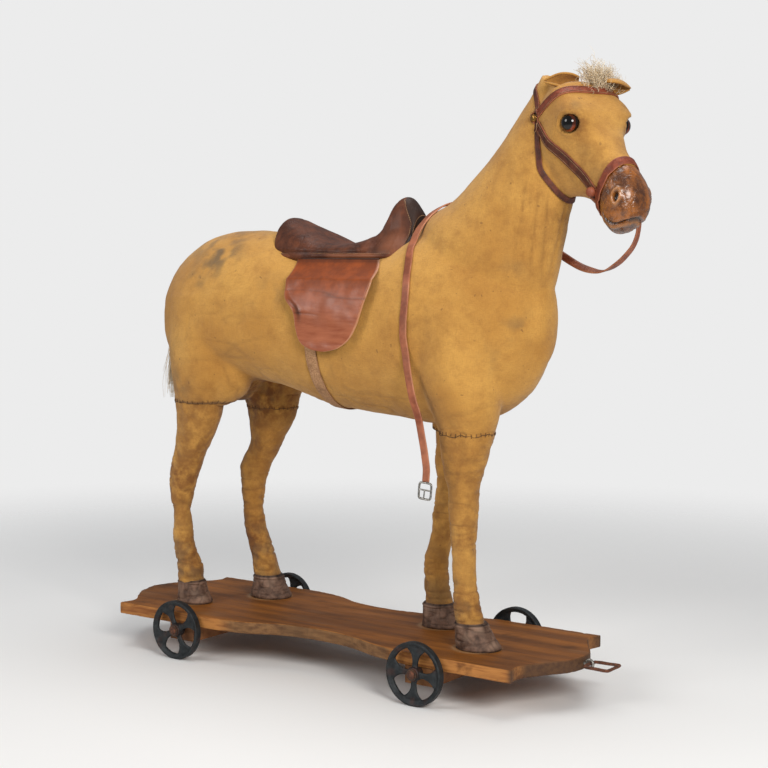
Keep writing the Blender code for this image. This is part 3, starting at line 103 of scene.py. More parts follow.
def unit(vectors):
    size = np.linalg.norm(vectors, axis=-1, keepdims=True)
    return vectors / np.maximum(size, 1e-12)


def lattice(cells):
    mixed = cells @ np.array((127.1, 311.7, 74.7))
    return np.modf(np.abs(np.sin(mixed) * 43758.5453))[0] * 2.0 - 1.0


# smooth noise from -1 to 1 with lumps of about that size, which may differ per axis
def noise(points, size, seed=0):
    cell = points / np.asarray(size) + 17.31 * (seed + 1)
    base = np.floor(cell)
    share = smoothstep(0.0, 1.0, cell - base)
    total = 0.0
    for corner in np.ndindex(2, 2, 2):
        corner = np.array(corner)
        weight = np.prod(np.where(corner == 1, share, 1.0 - share), axis=-1)
        total = total + weight * lattice(base + corner)
    return total


# narrow valleys where the noise passes zero
def creases(points, size, seed, sharp):
    return -np.clip(1.0 - np.abs(noise(points, size, seed)) / sharp, 0.0, 1.0) ** 2


def bell(distance, width):
    return np.exp(-((distance / width) ** 2))


def far(points, place, stretch=1.0):
    return np.linalg.norm((points - np.asarray(place)) * stretch, axis=1)


# 1 at a place, falling off over a size
def blob(points, place, size, stretch=1.0):
    return bell(far(points, place, stretch), size)


def within(values, high=1.0):
    return np.clip(values, 0.0, high)


# rows through the knots by Hermite curves, at equal distances
def through(knots, count, closed=False):
    knots = np.asarray(knots, float)
    if closed:
        knots = np.vstack((knots, knots[:1]))
    gaps = np.maximum(np.linalg.norm(np.diff(knots, axis=0), axis=1), 1e-9)
    slopes = np.diff(knots, axis=0) / gaps[:, None]
    near, spans = slopes, gaps[:, None]
    if closed:
        near, spans = (np.vstack((rows[-1:], rows, rows[:1])) for rows in (near, spans))
    lean = (near[:-1] * spans[1:] + near[1:] * spans[:-1]) / (spans[1:] + spans[:-1])
    if not closed:
        lean = np.vstack((slopes[:1], lean, slopes[-1:]))
    along = np.concatenate(([0.0], np.cumsum(gaps)))
    wanted = np.linspace(0.0, along[-1], count, endpoint=not closed)
    index = np.clip(np.searchsorted(along, wanted, "right") - 1, 0, len(gaps) - 1)
    gap = gaps[index][:, None]
    t = ((wanted - along[index]) / gaps[index])[:, None]
    return (
        (2 * t**3 - 3 * t**2 + 1) * knots[index]
        + (t**3 - 2 * t**2 + t) * gap * lean[index]
        + (3 * t**2 - 2 * t**3) * knots[index + 1]
        + (t**3 - t**2) * gap * lean[index + 1]
    )


def evenly(points, count):
    gaps = np.linalg.norm(np.diff(points, axis=0), axis=1)
    along = np.concatenate(([0.0], np.cumsum(gaps)))
    wanted = np.linspace(0.0, along[-1], count)
    return np.stack([np.interp(wanted, along, column) for column in points.T], 1)


def angles(count, offset=0.0):
    return 2.0 * math.pi * (np.arange(count) + offset) / count


def signedPower(value, power):
    return np.sign(value) * np.abs(value) ** power


# directions round an axis, from a hint of what lies across it
def spun(axis, turn, hint=(0.0, 0.0, 1.0)):
    first = unit(np.cross(axis, hint))
    return first * np.cos(turn) + np.cross(axis, first) * np.sin(turn)


# points round the Y axis
def turned(radius, along, turn):
    return np.stack((radius * np.cos(turn), along + 0 * turn, radius * np.sin(turn)), -1)


# egg-shaped rings across X, squarer above: x, half width, bottom, widest, top, squareness
def uprightRings(table, rows, around):
    table = through([row if len(row) == 6 else (*row, 1.0) for row in table], rows)
    x, half, low, widest, top, power = table.T[..., None]
    turn = angles(around, 0.5)[None, :]
    power = np.where(np.sin(turn) > 0, power, 1.0)
    across = signedPower(np.cos(turn), power)
    rise = signedPower(np.sin(turn), power)
    reach = np.where(rise > 0, top - widest, widest - low)
    return np.stack((x + 0 * across, half * across, widest + reach * rise), -1)


# level oval rings for a standing limb: z, x, y, half length, half width
def levelRings(table, rows, around):
    z, x, y, long, wide = through(table, rows).T[..., None]
    turn = angles(around)
    x, y = x + long * np.cos(turn), y + wide * np.sin(turn)
    return np.stack((x, y, z + 0 * x), -1)


# leaning rings: x and z of the crest, x and z of the throat, half width
def neckRings(table, rows, around):
    crestX, crestZ, throatX, throatZ, half = through(table, rows).T[..., None]
    turn = angles(around)
    x, z = (
        (crest + throat) / 2 + (crest - throat) / 2 * np.sin(turn)
        for crest, throat in ((crestX, throatX), (crestZ, throatZ))
    )
    return np.stack((x, half * np.cos(turn), z), -1)


# shrinking rings beyond both ends, so that a form closes round
def roundedEnds(rings, first, last):
    made = list(rings)
    for end, inner, bulge in ((0, 1, first), (-1, -2, last)):
        ring, centre = rings[end], rings[end].mean(0)
        out = centre - rings[inner].mean(0)
        out = out / max(np.linalg.norm(out), 1e-9) * bulge
        for share in (0.3, 0.6, 0.85):
            turn = share * math.pi / 2
            extra = centre + (ring - centre) * math.cos(turn) + out * math.sin(turn)
            made.insert(len(made) if end else 0, extra)
    return np.array(made)


# vertices and faces of a closed loft, with a pole at each end
def closedLoft(rings):
    rows, around = rings.shape[:2]
    index = np.arange(rows * around).reshape(rows, around)
    after = np.roll(index, -1, 1)
    quads = np.stack((index[:-1], after[:-1], after[1:], index[1:]), -1).reshape(-1, 4)
    pole = np.full(around, rows * around)
    first = np.stack((after[0], index[0], pole), -1)
    last = np.stack((index[-1], after[-1], pole + 1), -1)
    vertices = np.vstack((rings.reshape(-1, 3), rings[0].mean(0), rings[-1].mean(0)))
    return vertices, [*quads.tolist(), *first.tolist(), *last.tolist()]


# a tube that closes on itself both ways
def ringLoft(rings):
    index = np.arange(rings.shape[0] * rings.shape[1]).reshape(rings.shape[:2])
    after = np.roll(index, -1, 1)
    quads = np.stack((index, after, np.roll(after, -1, 0), np.roll(index, -1, 0)), -1)
    return rings.reshape(-1, 3), quads.reshape(-1, 4).tolist()


def gathered(forms):
    vertices, faces, start = [], [], 0
    for some, those in forms:
        vertices.append(some)
        faces += [[v + start for v in face] for face in those]
        start += len(some)
    return np.vstack(vertices), faces


def treeOf(*forms):
    points, faces = gathered(forms)
    return BVHTree.FromPolygons(points.tolist(), faces)


# outward facing mesh object with its point attributes and material
def makePiece(name, form, look, attributes=None, replaces=(), body=rootBody):
    vertices, faces = form
    corners = [face[:3] for face in faces] + [
        [face[0], face[2], face[3]] for face in faces if len(face) == 4
    ]
    a, b, c = np.moveaxis(vertices[np.array(corners)], 1, 0)
    if np.einsum("ij,ij->i", a, np.cross(b, c)).sum() < 0:
        faces = [face[::-1] for face in faces]
    mesh = bpy.data.meshes.new(name)
    mesh.from_pydata(vertices.tolist(), [], faces)
    mesh.polygons.foreach_set("use_smooth", [True] * len(mesh.polygons))
    for key, values in (attributes or {}).items():
        values = np.ascontiguousarray(np.broadcast_to(values, len(vertices)), np.float32)
        mesh.attributes.new(key, "FLOAT", "POINT").data.foreach_set("value", values)
    mesh.update()
    mesh.materials.append(look)
    made = linked(name, mesh)
    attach(made, body)
    if replaces:
        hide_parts(*replaces)
    return made


# one even skin over overlapping closed forms
def mergedSkin(forms, voxel, rounds):
    vertices, faces = gathered(forms)
    mesh = bpy.data.meshes.new("forms")
    mesh.from_pydata(vertices.tolist(), [], faces)
    item = linked("forms", mesh)
    remesh = item.modifiers.new("remesh", "REMESH")
    remesh.mode = "VOXEL"
    remesh.voxel_size = voxel
    smoothing = item.modifiers.new("smoothing", "SMOOTH")
    smoothing.factor = 0.5
    smoothing.iterations = rounds
    graph = bpy.context.evaluated_depsgraph_get()
    made = bpy.data.meshes.new_from_object(item.evaluated_get(graph))
    points = np.empty(len(made.vertices) * 3)
    made.vertices.foreach_get("co", points)
    corners = np.empty(len(made.loops), np.int32)
    made.loops.foreach_get("vertex_index", corners)
    bpy.data.objects.remove(item)
    bpy.data.meshes.remove(mesh)
    bpy.data.meshes.remove(made)
    return points.reshape(-1, 3), corners.reshape(-1, 4).tolist()


# all faces have three corners, or all have four
def vertexNormals(points, faces):
    corners = np.array(faces)
    a, b, c, d = np.moveaxis(points[corners[:, (0, 1, 2, -1)]], 1, 0)
    facing = np.cross(c - a, d - b)
    total = np.zeros_like(points)
    for column in corners.T:
        np.add.at(total, column, facing)
    return unit(total)


# materials

def colour(red, green, blue):
    return tuple(
        v / 12.92 if v <= 0.04045 else ((v + 0.055) / 1.055) ** 2.4
        for v in (red / 255, green / 255, blue / 255)
    ) + (1.0,)


# a material in the making; a word in place of a value names a point attribute
class Look:
    def __init__(self, name, **values):
        self.material = bpy.data.materials.new(name)
        self.material.use_nodes = True
        self.tree = self.material.node_tree
        self.shader = self.tree.nodes["Principled BSDF"]
        self.place = self.node("ShaderNodeTexCoord").outputs["Object"]
        self.done(**values)

    def node(self, kind, settings=None, **inputs):
        made = self.tree.nodes.new(kind)
        for key, value in (settings or {}).items():
            setattr(made, key, value)
        for key, value in inputs.items():
            self.put(made.inputs[key.replace("_", " ")], value)
        return made

    def put(self, socket, value):
        if isinstance(value, str):
            value = self.node("ShaderNodeAttribute", {"attribute_name": value}).outputs["Fac"]
        if isinstance(value, bpy.types.NodeSocket):
            self.tree.links.new(value, socket)
        else:
            socket.default_value = value

    def done(self, **values):
        for key, value in values.items():
            self.put(self.shader.inputs[key.replace("_", " ")], value)
        return self.material

    def noise(self, scale, detail=3.0, roughness=0.55, at=None):
        return self.node(
            "ShaderNodeTexNoise", None, Vector=at or self.place, Scale=scale,
            Detail=detail, Roughness=roughness,
        ).outputs[0]

    # noise that is scaled differently along X, Y and Z
    def streaks(self, scales, detail=2.0, roughness=0.5):
        place = self.node("ShaderNodeMapping", None, Vector=self.place, Scale=scales)
        return self.noise(1.0, detail, roughness, place.outputs[0])

    def maths(self, operation, *values):
        made = self.node("ShaderNodeMath", {"operation": operation})
        for socket, value in zip(made.inputs, values):
            self.put(socket, value)
        return made.outputs[0]

    def times(self, first, second):
        return self.maths("MULTIPLY", first, second)

    # 0 below low and 1 above high
    def step(self, value, low, high):
        return self.node(
            "ShaderNodeMapRange", {"interpolation_type": "SMOOTHSTEP"}, Value=value,
            From_Min=low, From_Max=high,
        ).outputs[0]

    def blend(self, factor, first, second):
        made = self.node("ShaderNodeMix", {"data_type": "RGBA"})
        for index, value in ((0, factor), (6, first), (7, second)):
            value = colour(*value) if isinstance(value, tuple) else value
            self.put(made.inputs[index], value)
        return made.outputs[2]

    # two colours, by where a value lies between low and high
    def between(self, value, low, high, first, second):
        return self.blend(self.step(value, low, high), first, second)

    # colours laid over a base one by one: factor, share of it, colour
    def layered(self, base, *layers):
        for factor, share, tone in layers:
            base = self.blend(factor if share == 1 else self.times(factor, share), base, tone)
        return base

    # bumps one upon another: height, distance, strength
    def bumps(self, *layers):
        under = {}
        for height, distance, strength in layers:
            made = self.node("ShaderNodeBump", None, Height=height, Distance=distance,
                             Strength=strength, **under)
            under = {"Normal": made.outputs[0]}
        return made.outputs[0]


# mustard cloth with a fine weave and nap
def clothLook():
    look = Look("cloth", Roughness=0.88, Sheen_Weight=0.12, Sheen_Roughness=0.5)
    mottled = look.noise(48.0, 5.0, 0.65)
    fine = look.noise(420.0, 3.0, 0.6)
    warp, weft = look.streaks((160.0, 160.0, 900.0)), look.streaks((900.0, 700.0, 150.0))
    weave = look.maths("ADD", look.times(warp, 0.5), look.times(weft, 0.5))
    base = look.between(look.noise(9.0, 4.0), 0.32, 0.68, (176, 122, 47), (202, 149, 68))
    base = look.layered(
        base,
        (look.step(mottled, 0.46, 0.74), 0.35, (140, 86, 28)),
        (fine, 0.15, (222, 180, 98)),
        (look.step(weave, 0.42, 0.62), 0.22, (146, 96, 40)),
        # dirt with painted shade, smoky stains with painted shadow, painted shade in the creases,
        # and dark seams with painted shadow under the hems
        (look.times("soilAndShade", look.step(mottled, 0.25, 0.62)), 0.9, (106, 58, 13)),
        ("smokeAndShade", 1, (96, 78, 54)), ("creaseShade", 0.42, (98, 60, 24)), ("seam", 1, (58, 34, 16)),
        (look.step(look.noise(130.0, 1.0), 0.74, 0.78), 0.45, (96, 60, 30)),
    )
    nap = look.bumps((fine, 0.0009, 0.7), (look.noise(120.0), 0.001, 0.5), (weave, 0.0007, 0.8))
    return look.done(Base_Color=base, Normal=nap)


# leather with wear, wrinkles and a broken shine
def leatherLook(name, dark, light, worn, rough, scale, grain=0.0004, coat=0.0, shine=0.4):
    look = Look(name, Coat_Weight=coat, Coat_Roughness=0.25, Specular_IOR_Level=shine)
    base = look.between(look.noise(scale, 5.0, 0.62), 0.34, 0.7, dark, light)
    base = look.layered(base, ("worn", 1, worn), ("shade", 1, (34, 20, 12)))
    bump = look.bumps((look.noise(900.0, 3.0, 0.6), grain, 0.6),
                      (look.noise(scale * 4, 4.0), grain * 3, 0.5))
    low, high = rough
    mixed = look.maths("MULTIPLY_ADD", look.noise(scale * 2), high - low, low)
    return look.done(Base_Color=base, Roughness=mixed, Normal=bump)


# varnished board: streaks along X, worn golden edges, a grey sawn stretch, painted shade on the
# ends
def boardLook():
    look = Look("board", Specular_IOR_Level=0.28)
    grain = look.streaks((14.0, 160.0, 160.0), 6.0, 0.6)
    streak = look.streaks((5.0, 38.0, 38.0), 4.0)
    patch = look.noise(16.0, 5.0, 0.65)
    top = look.between(streak, 0.3, 0.7, (106, 61, 16), (146, 88, 28))
    top = look.layered(top, (look.step(grain, 0.45, 0.7), 0.32, (62, 34, 10)),
                       (look.step(patch, 0.54, 0.75), 0.5, (46, 27, 13)))
    grey = look.between(grain, 0.3, 0.7, (84, 62, 42), (116, 88, 60))
    side = look.between(grain, 0.3, 0.62, (124, 72, 34), (178, 120, 62))
    # the ends darkened with painted shade
    side = look.layered(side, (look.step(patch, 0.5, 0.66), 0.8, (84, 46, 22)),
                        ("grey", 1, grey), ("endShade", 1, (58, 44, 36)))
    base = look.layered(top, ("edge", 1, side), ("dust", 1, (176, 142, 104)))
    saw = look.times(look.streaks((420.0, 20.0, 20.0)), "grey")
    bump = look.bumps((grain, 0.0006, 0.6), (saw, 0.0012, 0.8))
    rough = look.maths("MULTIPLY_ADD", "edge", 0.2, 0.46)
    rough = look.maths("MULTIPLY_ADD", patch, 0.2, rough)
    return look.done(Base_Color=base, Roughness=rough, Normal=bump)


def plainLook(name, first, second, scale=80.0, metallic=0.0, rough=0.5, height=0.0003):
    look = Look(name, Metallic=metallic, Roughness=rough)
    base = look.between(look.noise(scale, 5.0, 0.65), 0.35, 0.65, first, second)
    return look.done(Base_Color=base, Normal=look.bumps((look.noise(scale * 6), height, 0.7)))


# cast iron, blue-grey with rust by the attribute
def ironLook():
    look = Look("iron", Metallic=0.55)
    patch = look.noise(120.0, 5.0, 0.65)
    base = look.between(patch, 0.3, 0.8, (30, 33, 35), (56, 60, 62))
    base = look.layered(base, ("rust", look.step(patch, 0.3, 0.55), (96, 48, 26)))
    rough = look.maths("MULTIPLY_ADD", patch, 0.35, 0.35)
    return look.done(Base_Color=base, Roughness=rough,
                     Normal=look.bumps((look.noise(500.0), 0.0004, 0.7)))


def eyeLook():
    look = Look("glassEye", Roughness=0.12, Coat_Weight=0.45, Coat_Roughness=0.02, IOR=1.5,
                Specular_IOR_Level=0.25)
    base = look.between("iris", 0.66, 0.76, (5, 4, 3), (66, 26, 10))
    # the lower part of the iris is painted lighter, a painted glow of light through the glass
    base = look.layered(base, ("lower", look.step("iris", 0.62, 0.76), (128, 52, 20)),
                        (look.step("iris", 0.92, 1.02), 1, (8, 6, 5)))
    return look.done(Base_Color=base)


def hairLook():
    look = Look("hair", Roughness=0.5, Sheen_Weight=0.1)
    return look.done(Base_Color=look.blend("tone", (188, 160, 118), (242, 226, 196)))


# the flaps' leather, paler and rougher below; the paler lower part is partly painted reflection
def flapLook():
    look = Look("flapLeather", Coat_Weight=0.2, Coat_Roughness=0.2, Specular_IOR_Level=0.35)
    band = look.streaks((18.0, 18.0, 110.0), 4.0, 0.6)
    high = look.between(look.noise(45.0, 5.0, 0.62), 0.35, 0.7, (120, 54, 14), (150, 70, 20))
    # the pinkish lower colour, partly the leather's own and partly a painted reflection
    low = look.between(band, 0.25, 0.75, (136, 68, 40), (172, 102, 70))
    base = look.layered(high, ("low", 1, low), ("worn", 1, (200, 146, 106)),
                        ("shade", 1, (34, 18, 10)))
    bump = look.bumps((look.noise(700.0), 0.0003, 0.5), (band, 0.0004, 0.5))
    return look.done(Base_Color=base, Normal=bump,
                     Roughness=look.maths("MULTIPLY_ADD", "low", -0.16, 0.46))


def webbingLook():
    look = Look("webbing", Roughness=0.85)
    weave = look.streaks((900.0, 500.0, 500.0))
    base = look.between(weave, 0.35, 0.65, (150, 108, 72), (190, 146, 104))
    base = look.layered(base, (look.step(look.noise(60.0, 4.0), 0.5, 0.7), 0.5, (118, 80, 52)),
                        ("edge", 0.5, (112, 72, 46)))
    return look.done(Base_Color=base, Normal=look.bumps((weave, 0.0006, 0.8)))


# dark, light and worn colour, roughness from and to, scale, then grain, coat, shine
leathers = {
    "hoof": ((80, 56, 42), (128, 98, 80), (168, 138, 116), (0.55, 0.8), 70.0),
    "muzzle": ((74, 38, 12), (158, 92, 30), (186, 124, 66), (0.18, 0.36), 60.0, 0.0005, 0.8),
    "strap": ((62, 28, 15), (104, 50, 30), (158, 92, 60), (0.4, 0.62), 90.0),
    "band": ((102, 42, 24), (142, 68, 42), (178, 108, 74), (0.35, 0.6), 90.0),
    "seat": ((66, 31, 15), (104, 55, 30), (140, 84, 54), (0.42, 0.62), 38.0, 0.0004, 0.05, 0.3),
    "rein": ((118, 58, 34), (164, 92, 60), (200, 140, 106), (0.35, 0.6), 50.0),
}
# two colours, scale, metal, roughness, then height of the grain
plains = {
    "darkThread": ((66, 42, 22), (112, 78, 42), 80.0, 0.0, 0.85),
    "thread": ((168, 132, 96), (116, 82, 56), 80.0, 0.0, 0.8),
    "welt": ((158, 124, 90), (110, 76, 50), 80.0, 0.0, 0.65),
    "brass": ((186, 142, 74), (120, 82, 42), 200.0, 1.0, 0.28),
    "steel": ((176, 174, 168), (110, 106, 100), 300.0, 1.0, 0.3),
    "rust": ((62, 38, 27), (112, 66, 44), 220.0, 0.2, 0.75, 0.0006),
    "wood": ((112, 70, 38), (148, 98, 56), 40.0, 0.0, 0.7),
    "darkIron": ((58, 52, 48), (92, 66, 50), 160.0, 0.5, 0.55),
}
looks = {name: leatherLook(f"{name}Leather", *values) for name, values in leathers.items()}
looks.update((name, plainLook(name, *values)) for name, values in plains.items())

makeCamera()
print("camera")


# light and ground

studio = {
    "sky": ((226, 228, 232), 0.36), "seen": ((236, 236, 236), 1.0), "floor": (238, 238, 237),
    "fade": (0.75, 2.3), "aim": (0.05, 0.0, 0.5),
    # place, size, power, tint
    "lamps": {
        "key": ((2.2, -1.5, 1.5), 1.1, 54.0, (1.0, 0.97, 0.93)),
        "fill": ((-1.3, -2.7, 1.9), 1.5, 38.0, (1.0, 0.99, 0.98)),
        "top": ((0.1, 0.3, 2.7), 1.8, 24.0, (1.0, 1.0, 1.0)),
    },
}


def makeStudio():
    scene = bpy.context.scene
    world = bpy.data.worlds.new("studio")
    scene.world = world
    world.use_nodes = True
    tree = world.node_tree
    mixed = tree.nodes.new("ShaderNodeMixShader")
    ray = tree.nodes.new("ShaderNodeLightPath")
    tree.links.new(ray.outputs["Is Camera Ray"], mixed.inputs[0])
    for index, kind in ((1, "sky"), (2, "seen")):
        plain = tree.nodes.new("ShaderNodeBackground")
        tone, strength = studio[kind]
        plain.inputs[0].default_value = colour(*tone)
        plain.inputs[1].default_value = strength
        tree.links.new(plain.outputs[0], mixed.inputs[index])
    tree.links.new(mixed.outputs[0], tree.nodes["World Output"].inputs[0])
    mesh = bpy.data.meshes.new("floor")
    mesh.from_pydata([(-9, -9, 0), (9, -9, 0), (9, 9, 0), (-9, 9, 0)], [], [(0, 1, 2, 3)])
    # the floor fades into the plain background
    look = Look("floor", Roughness=0.8, Base_Color=colour(*studio["floor"]))
    away = look.node("ShaderNodeVectorMath", {"operation": "LENGTH"}, Vector=look.place)
    fade = look.node("ShaderNodeMixShader")
    clear = look.node("ShaderNodeBsdfTransparent")
    look.put(fade.inputs[0], look.step(away.outputs["Value"], *studio["fade"]))
    look.put(fade.inputs[1], look.shader.outputs[0])
    look.put(fade.inputs[2], clear.outputs[0])
    look.put(look.tree.nodes["Material Output"].inputs[0], fade.outputs[0])
    mesh.materials.append(look.material)
    floor = linked("floor", mesh)
    for name, (place, size, power, tint) in studio["lamps"].items():
        data = bpy.data.lights.new(name, "AREA")
        data.shape = "DISK"
        data.size = size
        data.energy = power
        data.color = tint
        lamp = linked(name, data)
        lamp.location = place
        aim = Vector(studio["aim"]) - Vector(place)
        lamp.rotation_euler = aim.to_track_quat("-Z", "Y").to_euler()
    scene.view_settings.view_transform = "Standard"


makeStudio()
print("studio")


# the stuffed cloth: torso, tops of the legs, neck and head in one skin

body = (
    (-0.341, 0.036, 0.405, 0.47, 0.524), (-0.321, 0.077, 0.378, 0.47, 0.567),
    (-0.278, 0.102, 0.365, 0.465, 0.599), (-0.205, 0.114, 0.372, 0.46, 0.616),
    (-0.115, 0.113, 0.366, 0.46, 0.611), (-0.01, 0.109, 0.34, 0.46, 0.583),
    (0.1, 0.107, 0.33, 0.46, 0.591), (0.2, 0.104, 0.324, 0.465, 0.625),
    (0.28, 0.091, 0.341, 0.47, 0.605), (0.328, 0.063, 0.375, 0.475, 0.569),
    (0.354, 0.03, 0.418, 0.475, 0.54),
)
legTops = {
    "front_right": (
        (0.314, 0.253, -0.0474, 0.0416, 0.0368), (0.341, 0.252, -0.0493, 0.0512, 0.0434),
        (0.42, 0.238, -0.054, 0.07, 0.052), (0.5, 0.225, -0.054, 0.07, 0.048),
    ),
    "front_left": (
        (0.309, 0.18, 0.045, 0.039, 0.0355), (0.341, 0.1861, 0.0474, 0.0516, 0.0434),
        (0.42, 0.205, 0.053, 0.07, 0.052), (0.5, 0.21, 0.053, 0.07, 0.048),
    ),
    "rear_right": (
        (0.334, -0.2565, -0.0578, 0.0468, 0.0375), (0.358, -0.247, -0.0592, 0.0555, 0.0443),
        (0.43, -0.234, -0.06, 0.077, 0.053), (0.51, -0.228, -0.058, 0.085, 0.05),
    ),
    "rear_left": (
        (0.32, -0.2, 0.057, 0.045, 0.0365), (0.353, -0.2035, 0.0591, 0.0589, 0.0443),
        (0.43, -0.215, 0.06, 0.079, 0.053), (0.51, -0.22, 0.058, 0.085, 0.05),
    ),
}
# cloth before the right thigh and between the thighs
groin = (
    (
        (0.332, -0.2185, -0.052, 0.013, 0.016), (0.341, -0.211, -0.05, 0.026, 0.026),
        (0.358, -0.202, -0.05, 0.034, 0.034), (0.4, -0.2, -0.05, 0.045, 0.045),
    ),
    (
        (0.338, -0.218, 0.0, 0.012, 0.02), (0.354, -0.218, 0.0, 0.028, 0.04),
        (0.38, -0.218, 0.0, 0.048, 0.055), (0.42, -0.218, 0.0, 0.06, 0.06),
    ),
)
legs = {
    "front_right": (
        (0.033, 0.2655, -0.0485, 0.0225, 0.0215), (0.06, 0.2585, -0.0485, 0.0205, 0.0195),
        (0.115, 0.2525, -0.0485, 0.0172, 0.0172), (0.185, 0.2505, -0.0485, 0.021, 0.0202),
        (0.25, 0.2488, -0.048, 0.028, 0.026), (0.29, 0.2515, -0.0475, 0.038, 0.034),
        (0.335, 0.254, -0.047, 0.044, 0.0385),
    ),
    "front_left": (
        (0.033, 0.15, 0.0416, 0.0215, 0.0205), (0.06, 0.147, 0.0417, 0.0203, 0.0193),
        (0.095, 0.1445, 0.042, 0.0195, 0.0185), (0.14, 0.153, 0.042, 0.018, 0.0175),
        (0.245, 0.1715, 0.0435, 0.0265, 0.025), (0.29, 0.18, 0.044, 0.036, 0.033),
        (0.335, 0.186, 0.045, 0.043, 0.0375),
    ),
    "rear_right": (
        (0.033, -0.278, -0.0567, 0.0205, 0.0205), (0.06, -0.282, -0.0567, 0.0222, 0.02),
        (0.092, -0.2925, -0.0567, 0.0196, 0.0178), (0.145, -0.2978, -0.0567, 0.0158, 0.0154),
        (0.212, -0.294, -0.0567, 0.0262, 0.021), (0.26, -0.2765, -0.057, 0.0298, 0.025),
        (0.3, -0.264, -0.0575, 0.039, 0.0315), (0.345, -0.258, -0.058, 0.0455, 0.0372),
    ),
    "rear_left": (
        (0.033, -0.204, 0.0553, 0.0225, 0.0215), (0.062, -0.213, 0.0553, 0.0228, 0.0207),
        (0.105, -0.2285, 0.0553, 0.0198, 0.0187), (0.158, -0.2375, 0.0553, 0.0184, 0.0178),
        (0.215, -0.234, 0.0556, 0.0266, 0.0227), (0.265, -0.2095, 0.056, 0.0295, 0.0262),
        (0.3, -0.2, 0.0565, 0.04, 0.0335), (0.345, -0.199, 0.057, 0.051, 0.039),
    ),
}
neck = (
    (0.13, 0.56, 0.322, 0.478, 0.07), (0.158, 0.632, 0.359, 0.528, 0.074),
    (0.2, 0.656, 0.375, 0.59, 0.062), (0.246, 0.7, 0.389, 0.645, 0.053),
    (0.29, 0.75, 0.401, 0.694, 0.047), (0.324, 0.796, 0.411, 0.736, 0.043),
    (0.348, 0.838, 0.424, 0.78, 0.038),
)
head = (
    (-0.03, 0.026, -0.026, -0.002, 0.02, 1.0), (-0.012, 0.045, -0.055, 0.002, 0.038, 0.8),
    (0.012, 0.055, -0.074, 0.006, 0.044, 0.5), (0.038, 0.058, -0.082, 0.008, 0.044, 0.42),
    (0.066, 0.048, -0.09, 0.006, 0.04, 0.65), (0.092, 0.036, -0.087, 0.002, 0.037, 0.8),
    (0.118, 0.028, -0.06, 0.002, 0.036, 0.8), (0.14, 0.028, -0.044, 0.003, 0.038, 0.8),
    (0.149, 0.0275, -0.04, 0.003, 0.037, 0.8),
)
eye = {"radius": 1.28 * 0.0105, "place": np.array((0.055, 0.04685, 0.021))}
# grey stains on the body and beside the head: place, size, strength
stains = (
    ((-0.2, -0.09, 0.575), 0.035, 0.75), ((-0.235, -0.1, 0.535), 0.022, 0.5),
    ((-0.075, -0.11, 0.52), 0.03, 0.35), ((-0.29, -0.08, 0.42), 0.04, 0.3),
    ((0.02, -0.1, 0.4), 0.035, 0.2), ((0.335, -0.05, 0.47), 0.022, 0.45),
    ((0.3, -0.07, 0.43), 0.02, 0.35), ((0.33, -0.05, 0.56), 0.02, 0.25),
    ((-0.26, -0.1, 0.37), 0.025, 0.45), ((0.09, -0.105, 0.47), 0.018, 0.25),
)
headStains = (
    ((0.04, 0.045, 0.036), 0.01, 0.6), ((0.05, 0.045, 0.0), 0.013, 0.4),
    ((0.075, 0.045, 0.024), 0.016, 0.35), ((0.115, 0.045, -0.01), 0.03, 0.25),
)
mirrored = [np.array((1.0, side, 1.0)) for _, side in bothSides]


# darker low on the legs and under the belly, dirt round the eyes, painted shade under the jaw, on
# the neck and on the shoulder, painted shadow between the thighs, and smoky grey stains
def clothAttributes(points, local):
    x, y, z = local.T
    inHead = toHead(points)
    soilAndShade = 0.22 * smoothstep(0.36, 0.2, z) + 0.15 * smoothstep(0.4, 0.34, z)
    soilAndShade += 0.2 * smoothstep(-0.16, -0.3, x) * smoothstep(0.52, 0.3, z)
    for mirror in mirrored:
        soilAndShade += 0.75 * blob(inHead, eye["place"] * mirror, 0.026)
    # painted shade under the jaw, down the neck's front and side, and on the shoulder
    soilAndShade += 0.3 * blob(inHead, (0.13, 0.0, -0.03), 0.05)
    soilAndShade += 0.3 * smoothstep(0.5, 0.62, z) * smoothstep(0.3, 0.36, x) * smoothstep(0.78, 0.7, z)
    soilAndShade += 0.16 * blob(local, (0.27, -0.06, 0.62), 0.1, (1, 0.4, 0.7))
    soilAndShade += 0.22 * blob(local, (0.17, -0.1, 0.46), 0.07)
    soilAndShade *= 0.55 + 0.75 * within(noise(points, 0.05, 3) + 0.3)
    # painted shadow between the thighs, in both layers
    under = blob(local, (-0.19, 0.01, 0.355), 0.045, (0.8, 0.7, 1)) * smoothstep(-0.075, -0.035, y)
    soilAndShade += 1.1 * under
    smokeAndShade = 0.4 * smoothstep(-0.1, -0.2, x) * smoothstep(0.545, 0.6, z)
    smokeAndShade += 0.45 * smoothstep(0.17, 0.05, z) + 0.5 * under
    for place, size, much in stains:
        smokeAndShade += much * blob(local, place, size)
    for place, size, much in headStains:
        for mirror in mirrored:
            smokeAndShade += much * blob(inHead, np.array(place) * mirror, size)
    patchy = within(0.35 + 1.4 * noise(points, 0.016, 13) + 0.5 * noise(points, 0.006, 14))
    return soilAndShade, within(smokeAndShade * patchy, 0.8)


